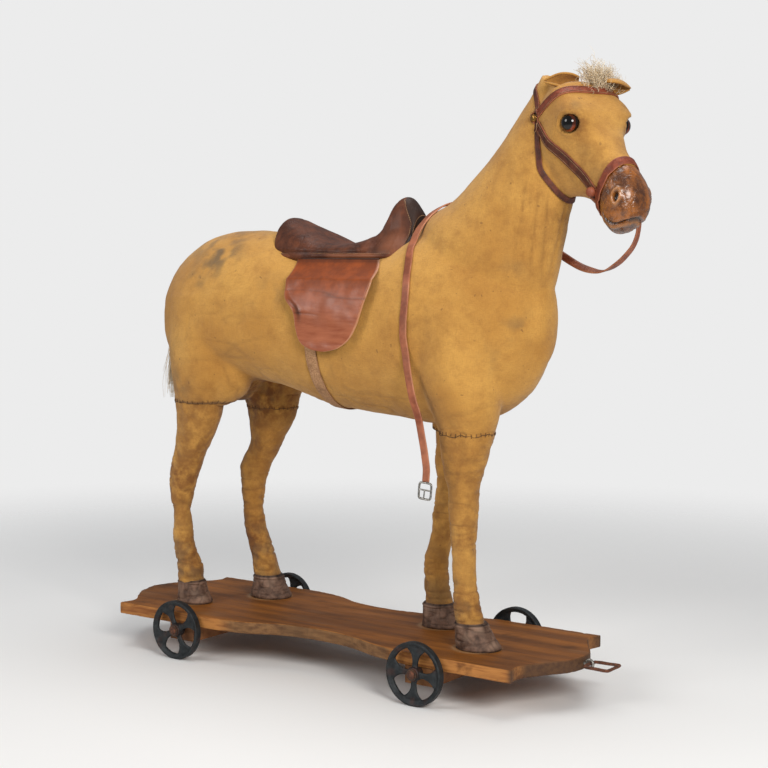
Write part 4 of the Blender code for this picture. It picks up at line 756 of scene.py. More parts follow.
def makeSkin(look):
    rings = [roundedEnds(uprightRings(body, rows=150, around=96), 0.012, 0.012),
             roundedEnds(neckRings(neck, rows=90, around=72), 0.0, 0.004)]
    for tables, rows, bulge in ((legTops.values(), 40, 0.002), (groin, 30, 0.004)):
        rings += [roundedEnds(levelRings(table, rows, 48), bulge, 0.01) for table in tables]
    forms = [(points + shift, faces) for points, faces in map(closedLoft, rings)]
    points, faces = closedLoft(
        roundedEnds(uprightRings(head, rows=90, around=96), 0.008, 0.004))
    points, faces = mergedSkin([*forms, (fromHead(points), faces)], voxel=0.0034, rounds=9)
    normals = vertexNormals(points, faces)
    local, inHead = points - shift, toHead(points)
    x, y, z = local.T
    u, _, w = inHead.T
    onHead = smoothstep(-0.03, 0.0, u) * smoothstep(-0.1, -0.082, w) * smoothstep(0.6, 0.64, z)
    onNeck = smoothstep(0.56, 0.62, z) * smoothstep(0.24, 0.3, x) * (1.0 - onHead)
    rise = 0.0022 * noise(points, 0.085, 1) + 0.001 * noise(points, 0.032, 2)
    rise += 0.00035 * noise(points, 0.011, 4)
    rise *= 1.0 - 0.5 * onHead
    rise += 0.004 * blob(local, (0.205, 0.075, 0.345), 0.035) * (1.0 + noise(points, 0.02, 11))
    rise += 0.0035 * blob(local, (0.345, -0.02, 0.52), 0.06, (1, 0.7, 0.6))
    # long folds down the throat, then creases over the legs, round the girth and on the flank
    throat = smoothstep(0.3, 0.37, x) * smoothstep(0.5, 0.6, z) * (1.0 - onHead)
    drawn = bell(x - 0.008, 0.05) * smoothstep(0.5, 0.4, z)
    flank = bell(x + 0.16, 0.1) * smoothstep(0.56, 0.46, z)
    tilted = local @ turnMatrix("Y", 8.0)
    down = sum(
        depth * creases(places, size, seed, sharp) * share
        for depth, places, size, seed, sharp, share in (
            (0.0017, tilted, (0.017, 0.026, 0.3), 5, 0.3, within(throat + 0.15 * onNeck)),
            (0.0009, local, (0.01, 0.014, 0.16), 6, 0.3, within(throat + 0.2 * onNeck)),
            (0.0013, local, (0.07, 0.07, 0.013), 8, 0.25, smoothstep(0.395, 0.34, z)),
            (0.0012, local, (0.012, 0.05, 0.06), 9, 0.25, drawn),
            (0.0012, local, (0.06, 0.03, 0.02), 10, 0.22, flank),
        )
    )
    # brows, lids and sockets
    socket = 0.0
    for mirror, height in zip(mirrored, (0.002, 0.0036)):
        rise += height * blob(inHead, (0.043, 0.056, 0.034) * mirror, 0.024, (1, 1, 1.3))
        away = far(inHead, eye["place"] * mirror)
        rise += 0.0014 * bell(away - 0.0166, 0.0026)
        socket += 0.0075 * smoothstep(0.0158, 0.0132, away)
    points = points + normals * (rise + down - socket)[:, None]
    soilAndShade, smokeAndShade = clothAttributes(points, local)
    # a dark sewn line round each hem, with painted shadow under the cloth's edge
    seam = 0.0
    wavy = 0.002 + 0.003 * noise(points, 0.016, 12) + 0.002 * noise(points, 0.005, 15)
    for (low, middleX, middleY, _, _), *_ in legTops.values():
        near = smoothstep(0.09, 0.065, np.hypot(x - middleX, y - middleY))
        seam += 0.6 * near * bell(z - low - wavy, 0.0026)
    # the creases are darkened with painted shade
    piece = makePiece(
        "skin", (points, faces), look,
        {"soilAndShade": within(soilAndShade), "smokeAndShade": smokeAndShade, "creaseShade": within(-down / 0.0022),
         "seam": within(seam)},
        ("torso", "neck", "head"),
    )
    return points, faces


def joined(foot):
    return foot.title().replace("_", "")


def makeLegs(look):
    forms = []
    for foot, table in legs.items():
        rings = levelRings(table, rows=150, around=72)
        points, faces = closedLoft(roundedEnds(rings, 0.001, 0.004))
        centre = rings.mean(1)
        z = points[:, 2]
        axis = np.stack([np.interp(z, centre[:, 2], centre[:, k]) for k in range(2)], 1)
        out = unit(points[:, :2] - axis)
        knee = bell(z - (0.2 if "front" in foot else 0.16), 0.05)
        rise = 0.0017 * noise(points, 0.028, 21) + 0.001 * noise(points, 0.011, 22)
        ripple = creases(points, (0.045, 0.045, 0.009), 23, 0.3)
        down = 0.0026 * ripple * within(smoothstep(0.115, 0.045, z) + 0.5 * knee + 0.25)
        upright = creases(points, (0.014, 0.014, 0.09), 24, 0.2)
        down += 0.001 * upright * smoothstep(0.16, 0.26, z)
        # the sewn line down the back
        back = bell(np.abs(np.arctan2(out[:, 1], out[:, 0])) - math.pi, 0.07)
        down -= 0.001 * back
        points[:, :2] += out * (rise + down)[:, None]
        world = points + shift
        soilAndShade, smokeAndShade = clothAttributes(world, points)
        # legs darker all over and near the board, with painted shade at the top under the body
        soilAndShade += 0.14 + 0.15 * smoothstep(0.1, 0.04, z) + 0.12 * smoothstep(0.29, 0.32, z)
        if "rear" in foot:
            soilAndShade += 0.05 + 0.25 * bell(z - 0.09, 0.03)
        # the creases are darkened with painted shade
        piece = makePiece(
            f"leg{joined(foot)}", (world, faces), look,
            {"soilAndShade": within(soilAndShade), "smokeAndShade": smokeAndShade, "creaseShade": within(-down / 0.0016) * 0.8,
             "seam": 0.75 * back * (np.modf(np.abs(z) / 0.007)[0] > 0.35)},
            (f"leg_{foot}",),
        )
        forms.append((world, faces))
    return forms


cloth = clothLook()
skin = makeSkin(cloth)
legForms = makeLegs(cloth)
print("skin", len(skin[0]))


# tubes and ribbons

def runOf(points, closed=False):
    if closed:
        return unit(np.roll(points, -1, 0) - np.roll(points, 1, 0))
    return unit(np.gradient(points, axis=0))


def tubeAlong(points, radii, around, closed=False):
    points = np.asarray(points, float)
    along, side = runOf(points, closed), np.empty_like(points)
    start = np.array((0.0, 0.0, 1.0)) if abs(along[0][2]) < 0.9 else np.array((1.0, 0, 0))
    last = unit(np.cross(along[0], start))
    for k, step in enumerate(along):
        side[k] = last = unit(last - step * (last @ step))
    up = np.cross(along, side)
    radii = np.broadcast_to(np.asarray(radii, float), (len(points),))
    turn = angles(around)[None, :, None]
    rings = points[:, None] + radii[:, None, None] * (
        side[:, None] * np.cos(turn) + up[:, None] * np.sin(turn)
    )
    return ringLoft(rings) if closed else closedLoft(rings)


def averaged(values, rounds, closed=False):
    for _ in range(rounds):
        if closed:
            values = (np.roll(values, 1, 0) + 2 * values + np.roll(values, -1, 0)) / 4
        else:
            inner = (values[:-2] + 2 * values[1:-1] + values[2:]) / 4
            values = np.concatenate((values[:1], inner, values[-1:]))
    return values


def castOn(tree, starts, aims):
    hits = [tree.ray_cast(Vector(start), Vector(aim)) for start, aim in zip(starts, aims)]
    spots, normals, _, _ = zip(*(hit for hit in hits if hit[0] is not None))
    return np.array(spots), unit(np.array(normals))


# a loop of surface points in the plane of two axes, seen from its middle
def loopOn(tree, centre, first, second, spread, count, reach=0.2):
    turn = np.radians(np.linspace(*spread, count))[:, None]
    aims = unit(np.asarray(first, float))[None] * np.cos(turn)
    aims = aims + unit(np.asarray(second, float))[None] * np.sin(turn)
    return castOn(tree, np.asarray(centre) + aims * reach, -aims)


# a strap's section: share of the half width, share of the thickness
corner = ((0.97, 0.1), (1.0, 0.35), (1.0, 0.65), (0.96, 0.9), (0.86, 1.0))
section = np.array((
    *corner, (0.5, 1.0), (0.0, 1.0), (-0.5, 1.0),
    *((-share, height) for share, height in corner[::-1]), (-0.5, 0.0), (0.0, 0.0), (0.5, 0.0),
))


# a strap's form from heights over its line, and its edges
def strapForm(spots, across, normals, width, heights, closed=False):
    rings = (
        spots[:, None]
        + across[:, None] * (section[None, :, 0:1] * width / 2)
        + normals[:, None] * heights[..., None]
    )
    edge = smoothstep(0.82, 0.98, np.abs(section[:, 0]))
    worn = np.tile(edge, len(spots))
    return (ringLoft(rings), worn) if closed else (closedLoft(rings), np.append(worn, (0, 0)))


# a strap that lies on a surface: its form, its edges and its middle line
def ribbonOn(tree, spots, normals, width, thickness, count, closed=False, calm=6):
    if closed:
        spots, normals = np.vstack((spots, spots[:1])), np.vstack((normals, normals[:1]))
    both = evenly(np.hstack((spots, normals * 0.05)), count + (1 if closed else 0))
    both = both[:-1] if closed else both
    spots = averaged(both[:, :3], calm, closed)
    normals = unit(averaged(unit(both[:, 3:]), calm * 3, closed))
    along = runOf(spots, closed)
    across = unit(np.cross(along, normals))
    normals = unit(np.cross(across, along))
    stations, above, gap = np.linspace(-1.0, 1.0, 9), 0.012, 0.0003
    lift = np.full((len(spots), len(stations)), np.nan)
    for i, j in np.ndindex(lift.shape):
        start = spots[i] + across[i] * stations[j] * width / 2 + normals[i] * above
        distance = tree.ray_cast(Vector(start), Vector(-normals[i]), 0.03)[3]
        if distance is not None:
            lift[i, j] = above - distance
    lift[np.isnan(lift)] = np.nanmedian(lift)
    lift = np.maximum(lift, averaged(lift, 8, closed))
    lift = averaged(lift, 2, closed) + gap
    flat = lift.max(1, keepdims=True) * 0.5 + lift * 0.5
    lift = np.maximum(lift, np.minimum(flat, lift + 0.0012))
    heights = np.stack([np.interp(section[:, 0], stations, row) for row in lift])
    heights = heights + section[None, :, 1] * thickness
    form, worn = strapForm(spots, across, normals, width, heights, closed)
    return form, worn, (spots + normals * (lift[:, 4:5] + thickness), across, normals)


def wornBy(points, worn, strength):
    return within(worn * (0.35 + 0.9 * within(noise(points, 0.02, 31) + 0.25)) * strength)


# short threads in a row along a line
def stitchRow(points, outward, step, length, radius):
    gaps = np.linalg.norm(np.diff(points, axis=0), axis=1)
    count = max(2, int(gaps.sum() / step))
    both = evenly(np.hstack((points, outward * 0.01)), count * 2 + 1)
    radii = radius * np.array((0.3, 1, 1, 1, 0.3))
    forms = []
    for k in range(1, len(both) - 1, 2):
        run = unit(both[k + 1, :3] - both[k - 1, :3])
        out = unit(both[k, 3:])
        line = [both[k, :3] + run * length * t + out * radius * (1.6 - 5 * t * t)
                for t in (-0.5, -0.3, 0.0, 0.3, 0.5)]
        forms.append(tubeAlong(line, radii, 6))
    return forms


# the cloth's surface round a leg's top, in a direction from its axis
def hemSpot(limbs, out, height, x, y, long, wide):
    start = np.array((x + long * 1.4 * out[0], y + wide * 1.4 * out[1], height)) + shift
    spot = limbs.ray_cast(Vector(start), Vector(-out), 0.05)[0]
    if spot is None:
        inner = (x + (long - 0.001) * out[0], y + (wide - 0.001) * out[1], height)
        return np.array(inner) + shift
    return np.array(spot)


# coarse stitches over the hems above the legs
def makeHems(look, limbs):
    forms = []
    for (low, *oval), *_ in legTops.values():
        x, y, long, wide = oval
        for turn in angles(34):
            out = np.array((math.cos(turn), math.sin(turn), 0.0))
            across = np.array((-out[1], out[0], 0.0))
            lift = random.uniform(-0.0012, 0.0016)
            size = random.uniform(0.0035, 0.0065)
            lean = random.uniform(-0.0015, 0.0015)
            line = [
                hemSpot(limbs, out, low + 0.0025 + lift + size * t, *oval)
                + out * 0.0006 * (1 - 3 * t * t) + across * lean * t
                for t in (-0.5, -0.25, 0.0, 0.25, 0.5)
            ]
            forms.append(tubeAlong(line, 0.0005, 6))
        # the cloth's rolled edge, a wavy line below the stitches
        edge = []
        for turn in angles(160):
            out = np.array((math.cos(turn), math.sin(turn), 0.0))
            place = (x + long * 1.4 * out[0], y + wide * 1.4 * out[1], low + 0.002)
            flat = (np.array(place) + shift)[None]
            wave = 0.003 * noise(flat, 0.016, 12)[0] + 0.002 * noise(flat, 0.005, 15)[0]
            spot = hemSpot(limbs, out, low + 0.002 + wave, *oval)
            edge.append(spot + out * 0.0005 * (noise(flat, 0.012, 16)[0] - 0.1))
        forms.append(tubeAlong(averaged(np.array(edge), 2, True), 0.00055, 6, True))
    makePiece("hemStitches", gathered(forms), look)


# hooves, muzzle, ears, eyes and hair

# x, y and radius at the board
hooves = {
    "front_right": (0.275, -0.0485, 0.0317), "front_left": (0.1518, 0.0416, 0.029),
    "rear_right": (-0.2747, -0.0567, 0.0275), "rear_left": (-0.2017, 0.0553, 0.0327),
}


def makeHooves(look):
    for foot, (x, y, r) in hooves.items():
        _, cuffX, cuffY, cuff, _ = legs[foot][0]
        cuff += 0.003
        table = []
        # height, share of the hoof's radius or else of the way to the cuff
        for z, share, drift in (
            (0.0004, 0.985, 0.0), (0.002, 1.0, 0.0), (0.009, 0.97, 0.25), (0.02, None, 0.6),
            (0.0296, None, 0.85), (0.035, None, 1.0), (0.0375, 0.0, 1.0),
        ):
            size = r * share if share else r + (cuff - r) * drift
            size = size - 0.0015 if share == 0.0 else size
            toe = 0.0038 * (1 - drift)
            middle = (x + (cuffX - x) * drift + toe, y + (cuffY - y) * drift)
            table.append((z, *middle, size + toe, 0.96 * size))
        points, faces = closedLoft(levelRings(table, rows=60, around=96))
        z = points[:, 2]
        out = unit((points - (x, y, 0)) * (1, 1, 0))
        down = 0.0012 * creases(points, (0.01, 0.01, 0.03), 41, 0.3)
        down += 0.0009 * creases(points, (0.03, 0.03, 0.006), 42, 0.3)
        rise = 0.0008 * noise(points, 0.014, 43) + 0.001 * bell(z - 0.0335, 0.0016)
        rise += 0.0007 * noise(points, 0.004, 44) * smoothstep(0.006, 0.001, z)
        inner = (z > 0.0008) & (z < 0.0372)
        points += out * ((rise + down) * inner)[:, None]
        shade = 0.75 * bell(z - 0.0362, 0.0014) + 0.4 * within(-down / 0.001)
        shade += 0.35 * smoothstep(0.004, 0.0, z)
        worn = 0.6 * within(noise(points, 0.012, 45)) * smoothstep(0.0, 0.01, z)
        makePiece(f"hoof{joined(foot)}", (points + shift, faces), look,
                  {"worn": worn, "shade": within(shade, 0.9)}, (f"hoof_{foot}",))


muzzle = {
    "rings": (
        (0.132, 0.0245, -0.035, 0.004, 0.0335), (0.15, 0.0288, -0.038, 0.003, 0.0374),
        (0.172, 0.032, -0.04, 0.002, 0.036), (0.19, 0.031, -0.042, 0.0, 0.031),
        (0.204, 0.026, -0.038, -0.004, 0.02), (0.212, 0.014, -0.027, -0.008, 0.006),
    ),
    "nostril": (0.183, 0.0145),
    "mouth": (0.004, 37.0),
}


def makeMuzzle(look):
    table = [(*row, 0.85) for row in muzzle["rings"]]
    points, faces = closedLoft(
        roundedEnds(uprightRings(table, rows=120, around=144), 0.0, 0.003))
    u, v, w = points.T
    out = unit(points - np.stack((np.minimum(u, 0.19), 0 * u, 0 * u - 0.003), 1))
    holeU, holeW = muzzle["nostril"]
    side = smoothstep(0.01, 0.018, np.abs(v))
    upright = ((w - holeW) - (u - holeU)) / math.sqrt(2.0)
    level = ((w - holeW) + (u - holeU)) / math.sqrt(2.0)
    away = np.hypot(upright / 1.7, level)
    pit = smoothstep(0.0046, 0.0024, away) * side
    rim = bell(away - 0.006, 0.0018) * side
    # the mouth is highest in the middle and falls to both sides
    peak, fall = muzzle["mouth"]
    off = (w - peak + fall * v * v) / np.sqrt(1.0 + (2.0 * fall * v) ** 2)
    off += 0.0008 * noise(points, 0.015, 51)
    ahead = smoothstep(0.172, 0.184, u)
    slit = bell(off, 0.0014) * ahead
    lips = (bell(off - 0.0045, 0.0026) + 1.3 * bell(off + 0.0055, 0.0036)) * ahead
    wrinkles = creases(points, (0.018, 0.012, 0.01), 52, 0.25)
    fine = creases(points, (0.007, 0.006, 0.005), 53, 0.3)
    quiet = 1.0 - within(pit + slit)
    rise = -0.0065 * pit + 0.002 * rim - 0.0042 * slit + 0.0014 * lips
    rise += 0.0007 * noise(points, 0.022, 54)
    rise += (0.0007 * wrinkles + 0.0005 * fine) * quiet
    rise *= smoothstep(0.1325, 0.142, u)
    rear = smoothstep(0.16, 0.14, u) * smoothstep(0.0, -0.02, w)
    shade = within(0.98 * pit + 0.9 * slit - 0.25 * wrinkles + 0.5 * rear)
    # the nostril rims are worn paler; the paler line on the lower lip is a painted highlight
    worn = within(0.7 * rim + 0.45 * lips * (off < 0), 0.8) * quiet
    form = fromHead(points + out * rise[:, None]), faces
    makePiece("muzzleSkin", form, look, {"shade": shade, "worn": worn}, ("muzzle",))
    return form


# root, tip, direction of the opening, half width
ears = {
    "right": ((-0.01, -0.008, 0.038), (-0.019, -0.058, 0.025), (0.35, 0.0, 0.9), 0.0102),
    "left": ((0.002, 0.026, 0.05), (0.009, 0.068, 0.05), (0.95, 0.0, -0.1), 0.0118),
}


def makeEars(look):
    for side, (root, tip, opening, halfWidth) in ears.items():
        root, tip, opening = (np.array(v, float) for v in (root, tip, opening))
        run = unit(tip - root)
        front = unit(opening - run * (run @ opening))
        across = np.cross(run, front)
        share = np.linspace(0.0, 1.0, 34)[:, None]
        turn = np.radians(np.linspace(-105, 105, 27))[None, :]
        half = halfWidth * np.sin(math.pi * (0.2 + 0.76 * share ** 0.9))
        middle = root + (tip - root) * share + front * 0.3 * half
        fold = 1.0 + 0.1 * np.sin(3.0 * turn + 4.0 * share)
        outer = middle[:, None] + (half * fold)[..., None] * (
            -front * np.cos(turn)[..., None] + across * np.sin(turn)[..., None]
        )
        outer = outer + 0.0007 * noise(outer, 0.012, 61)[..., None] * front
        normal = unit(np.cross(np.gradient(outer, axis=0), np.gradient(outer, axis=1)))
        normal *= np.sign((normal * (outer - middle[:, None])).sum(-1, keepdims=True))
        rim = within((np.abs(turn) - math.radians(80)) / math.radians(25))
        thick = (0.001 + 0.0004 * rim) * (0.5 + 0.5 * np.sqrt(1 - 0.9 * share ** 8))
        normal *= thick[..., None]
        points, faces = closedLoft(
            np.concatenate((outer + normal, (outer - normal)[:, ::-1]), 1))
        inside = np.tile(np.append(0 * turn, 1.0 - 0.75 * rim), len(share))
        inside = np.append(inside, (0.3, 0.2))
        # the inside of the ear is darkened with painted shade
        makePiece(
            f"ear_skin_{side}", (fromHead(points), faces), look,
            {"soilAndShade": within(0.1 + 0.45 * inside), "creaseShade": 0.35 * inside,
             "seam": 0, "smokeAndShade": 0}, (f"ear_{side}",),
        )


def makeEyes(look):
    for side, sign in bothSides:
        axis = unit(np.array((0.2, sign, 0.1)))
        polar = np.linspace(0.03, math.pi - 0.03, 48)[:, None, None]
        out = axis * np.cos(polar) + np.sin(polar) * spun(axis, angles(64)[None, :, None])
        middle = (eye["place"] - (0, 0.001, 0)) * (1.0, sign, 1.0)
        points, faces = closedLoft(middle + eye["radius"] * out)
        spread = np.repeat(polar / math.radians(74), 64)
        # how far each point faces down, for the painted glow in the lower iris
        down = -(out.reshape(-1, 3) @ headTurn.T)[:, 2]
        makePiece(
            f"eye_ball_{side}", (fromHead(points), faces), look,
            {"iris": np.append(spread, (0.0, 2.0)),
             "lower": np.append(smoothstep(0.15, 0.6, down), (0.0, 0.0))},
            (f"eye_{side}",),
        )


def makeForelock(look):
    forms, tones = [], []
    t = np.linspace(0.0, 1.0, 13)[:, None]
    for _ in range(560):
        wide = random.normal(0.0, 1.0, 2)
        root = np.array((-0.005 + 0.008 * wide[0], 0.023 + 0.014 * wide[1], 0.042))
        lean = unit(np.array((-0.25 + 0.4 * random.normal(),
                              0.25 * wide[1] + 0.45 * random.normal(), 1.0)))
        size = random.uniform(0.018, 0.046) * math.exp(-0.12 * wide[1] ** 2)
        curl = random.uniform(0.0015, 0.0065) * t ** 0.7
        turn = random.uniform(0, 6.28) + random.uniform(2.5, 9.0) * t
        line = root + lean * size * t * (1 - 0.25 * t)
        line = line + curl * spun(lean, turn, (0.3, 1.0, 0.2))
        line = line + np.array((-0.006, 0.004 * random.normal(), -0.006)) * t ** 2
        forms.append(tubeAlong(fromHead(line), 0.00036 * (1 - 0.6 * t[:, 0]), 3))
        tones += [random.uniform(0, 1)] * len(forms[-1][0])
    makePiece("forelockHair", gathered(forms), look, {"tone": tones}, ("forelock",))


def makeTail(look):
    forms, tones = [], []
    route = through([(-0.318, 0, 0.457), (-0.342, 0, 0.448), (-0.36, 0, 0.425),
                     (-0.369, 0, 0.385), (-0.37, 0, 0.35), (-0.366, 0, 0.325)], 22)
    for _ in range(190):
        off = random.normal(0.0, 0.004, 2)
        swing = random.normal(0.0, 0.0055, 2)
        line = evenly(route, 22)[: max(9, int(22 * random.uniform(0.55, 1.0)))]
        t = np.linspace(0.0, 1.0, len(line))
        wave = 0.0012 * np.sin(random.uniform(0, 6) + random.uniform(6, 14) * t)
        line[:, 0] += off[0] + swing[0] * t ** 2 + wave
        line[:, 1] += off[1] + swing[1] * t ** 2 + wave[::-1]
        forms.append(tubeAlong(line + shift, 0.0005 * (1 - 0.6 * t), 3))
        tones += [random.uniform(0, 0.8)] * len(forms[-1][0])
    makePiece("tailHair", gathered(forms), look, {"tone": tones}, ("tail",))


makeHooves(looks["hoof"])
muzzleForm = makeMuzzle(looks["muzzle"])
makeEars(cloth)
makeEyes(eyeLook())
hair = hairLook()
makeForelock(hair)
makeTail(hair)
print("head pieces")

hide = treeOf(skin, muzzleForm)
makeHems(looks["darkThread"], treeOf(skin, *legForms))


# straps of the bridle; nose, brow, cheek and studs are measured along and across the head

bridle = {
    "width": 0.0135, "thickness": 0.0018,
    "crown": (0.3585, 0.851), "jaw": (0.3665, 0.698), "under": (0.393, 0.655),
    "nape": (0.338, 0.836),
    "nose": ((0.1355, 0.043), (0.1685, -0.04)),
    "brow": ((-0.001, -0.0285), (0.0115, 0.04)),
    "cheek": ((-0.001, -0.0285), (0.1545, -0.0178)),
    "studs": {"temple": (-0.001, -0.0285), "cheek": (0.146, -0.0185)},
}
# the studs' domes: share of the radius, and height
dome = ((0.9, -0.006), (1.0, -0.0056), (1.0, 0.0009), (0.94, 0.0015), (0.72, 0.0028),
        (0.38, 0.0035), (0.08, 0.0037))
domeRadius = 0.0062
# how far from the head's middle the rays start
outside = 0.12


# a direction in the head's middle plane
def flatOn(u, w):
    return headTurn @ np.array((u, 0.0, w))


def addStrap(name, tree, line, share, count, kind, replaces=(), strength=0.7, **more):
    form, worn, middle = ribbonOn(tree, *line, share * bridle["width"], bridle["thickness"],
                                  count, **more)
    makePiece(name, form, looks[kind], {"worn": wornBy(form[0], worn, strength), "shade": 0},
              replaces)
    return form, middle


# a row of stitches along both edges of a strap
def stitchEdges(name, middle, trim, radius):
    spots, across, normals = (rows[trim:-trim] for rows in middle)
    forms = []
    for edge in (-0.36, 0.36):
        forms += stitchRow(spots + across * bridle["width"] * edge, normals,
                           step=0.0021, length=0.0024, radius=radius)
    makePiece(name, gathered(forms), looks["thread"])


def makeBridle():
    crown, jaw, under, nape = (
        np.array((bridle[k][0], 0, bridle[k][1])) + shift for k in ("crown", "jaw", "under", "nape")
    )
    side = (0.0, -1.0, 0.0)
    # above the studs the strap leans back to the nape
    turn = np.radians(np.linspace(0, 180, 170))[:, None]
    lean = smoothstep(math.radians(30), math.radians(4), np.abs(turn - math.pi / 2))
    upward = unit(crown - jaw) * (1 - lean) + unit(nape - jaw) * lean
    aims = unit(np.array(side) * np.cos(turn) + upward * np.sin(turn))
    over = castOn(hide, jaw + aims * 0.2, -aims)
    below = loopOn(hide, jaw, side, under - jaw, (178, 2), 90)
    line = [np.vstack(pair) for pair in zip(over, below)]
    throat, _ = addStrap("throatStrap", hide, line, 0.63, 260, "strap", ("throat_strap",),
                         closed=True)
    (topU, topW), (lowU, lowW) = bridle["nose"]
    centre = fromHead(((topU + lowU) / 2, 0.0, (topW + lowW) / 2))
    right = headTurn @ np.array(side)
    line = loopOn(hide, centre, right, flatOn(topU - lowU, topW - lowW), (0, 358), 200, outside)
    nose, _ = addStrap("noseStrap", hide, line, 1, 200, "band", ("noseband",), closed=True)
    tree = treeOf(skin, muzzleForm, throat, nose)
    (sideU, sideW), (browU, browW) = bridle["brow"]
    line = loopOn(tree, fromHead((sideU, 0.0, sideW)), right, flatOn(browU - sideU, browW - sideW),
                  (-3, 183), 180, 0.14)
    brow, browMiddle = addStrap("browStrap", tree, line, 1, 180, "band",
                                ("brow_and_cheek_strap",), 0.9)
    straps = [throat, nose, brow]
    (firstU, firstW), (lastU, lastW) = bridle["cheek"]
    t = np.linspace(-0.02, 1.0, 110)[:, None]
    for name, sign in bothSides:
        starts = np.hstack((firstU + (lastU - firstU) * t, sign * outside + 0 * t,
                            firstW + (lastW - firstW) * t))
        line = castOn(tree, fromHead(starts), np.tile(-sign * headTurn[:, 1], (len(t), 1)))
        cheek, middle = addStrap(f"cheekStrap_{name}", tree, line, 1.2, 120, "strap", calm=10)
        stitchEdges(f"cheekStitches_{name}", middle, 4, 0.00032)
        straps.append(cheek)
    stitchEdges("browStitches", browMiddle, 6, 0.0003)
    return straps


# domes on the straps: brass at the temples, covered with leather at the noseband
def makeStuds(straps):
    top = treeOf(*straps)
    profile = through([(share * domeRadius, height) for share, height in dome], 26)
    profile = profile[..., None, None]
    turn = angles(40)[None, :, None]
    for place, kind, slot in (("temple", "brass", "brass"), ("cheek", "band", "leather")):
        u, w = bridle["studs"][place]
        for name, sign in bothSides:
            start, aim = Vector(fromHead((u, sign * outside, w))), -sign * headTurn[:, 1]
            ground, normal, _, _ = hide.ray_cast(start, Vector(aim))
            middle = np.array(top.ray_cast(start, Vector(aim))[0] or ground)
            normal = unit(0.4 * unit(np.array(normal)) - aim)
            middle = middle + 0.0042 * normal
            rings = middle + profile[:, 0] * spun(normal, turn) + profile[:, 1] * normal
            makePiece(f"studDome_{place}_{name}", closedLoft(rings), looks[kind],
                      {"worn": 0.2, "shade": 0}, (f"stud_{place}_{name}",))


makeStuds(makeBridle())
print("bridle")


# saddle

saddle = {
    # x, half width, bottom, top, squareness
    "rings": (
        (-0.12, 0.035, 0.579, 0.616, 0.85), (-0.105, 0.054, 0.576, 0.636, 0.85),
        (-0.076, 0.064, 0.575, 0.626, 0.85), (0.0, 0.065, 0.575, 0.5945, 0.72),
        (0.04, 0.0648, 0.575, 0.5975, 0.8), (0.067, 0.0645, 0.575, 0.606, 0.85),
        (0.086, 0.064, 0.575, 0.623, 0.92), (0.101, 0.063, 0.575, 0.659, 0.9),
        (0.117, 0.06, 0.576, 0.665, 0.88), (0.1325, 0.053, 0.577, 0.65, 0.9),
    ),
    # the lined hollow under the pommel: x, half width, bottom, widest, top
    "arch": (
        (0.139, 0.044, 0.578, 0.586, 0.639), (0.1395, 0.03, 0.582, 0.598, 0.632),
        (0.1375, 0.0205, 0.588, 0.608, 0.6265), (0.127, 0.017, 0.592, 0.611, 0.627),
        (0.112, 0.014, 0.596, 0.611, 0.624),
    ),
    "rim": {"radius": 0.0046, "inset": 0.0024, "height": 0.5753, "behind": -0.124},
    # where the lining starts, the height above which it starts further back, and how much
    "seam": (0.135, 0.625, 0.5),
}


def makeSeat():
    table = [(x, half, rim - 0.02, rim, top, power)
             for x, half, rim, top, power in saddle["rings"]]
    count = len(table)
    table = np.array([*table, *((*row, 0.9) for row in saddle["arch"])])
    rings = uprightRings(table, rows=240, around=160)
    # the pommel is narrow above its wide foot
    along, _, _, widest, high, _ = through(table, 240).T[..., None]
    share = (rings[..., 2] - widest) / (high - widest)
    rings[..., 1] *= 1.0 - 0.44 * smoothstep(0.07, 0.104, along) * smoothstep(0.0, 0.5, share)
    rings = roundedEnds(rings, 0.008, 0.002)
    points, faces = closedLoft(rings)
    normals = vertexNormals(points, [face[:3] for face in faces])
    if (normals * (points - (0.0, 0.0, 0.59))).sum() < 0:
        normals = -normals
    x, y, z = points.T
    order = np.append(np.repeat(np.arange(len(rings)), rings.shape[1]), (0, len(rings)))
    hollow = smoothstep(0.86, 0.9, order / len(rings)) * smoothstep(0.12, 0.134, x + 0.012)
    side = smoothstep(0.03, 0.055, np.abs(y))
    rise = 0.0013 * noise(points, 0.045, 71) + 0.0005 * noise(points, 0.017, 72)
    down = 0.0006 * creases(points, (0.022, 0.03, 0.03), 73, 0.16)
    down += 0.0006 * creases(points, (0.016, 0.05, 0.02), 74, 0.2) * side
    outer = order < 0.8 * len(rings)
    # the sewn line a little above the rim
    above = z - np.interp(x, table[:count, 0], table[:count, 3])
    sewn = bell(above - 0.0055, 0.0014) * side * outer
    puffed = bell(above - 0.0105, 0.004) * side * outer
    moved = (rise + down) * outer - 0.0012 * sewn + 0.001 * puffed
    points = points + normals * moved[:, None]
    # the pommel's dark lining starts further back near its top
    seam, level, slope = saddle["seam"]
    starts = seam - slope * np.clip(z - level, 0, None)
    lining = 0.85 * smoothstep(-0.0004, 0.0006, x - starts) * (x > 0.08)
    shade = 0.35 * within(-down / 0.001) + 0.3 * sewn
    shade = within(np.maximum(shade, np.maximum(0.97 * hollow, lining)))
    pommel = smoothstep(0.08, 0.115, x) * smoothstep(0.02, 0.045, np.abs(y))
    rubbed = smoothstep(0.64, 0.662, z) * within(noise(points, 0.02, 75) + 0.3)
    worn = (0.55 * pommel * (lining < 0.1) + 0.2 * rubbed) * (1 - hollow)
    form = points + shift, faces
    makePiece("saddleSeat", form, looks["seat"], {"shade": shade, "worn": within(worn, 0.8)},
              ("saddle_seat",))
    return treeOf(form)


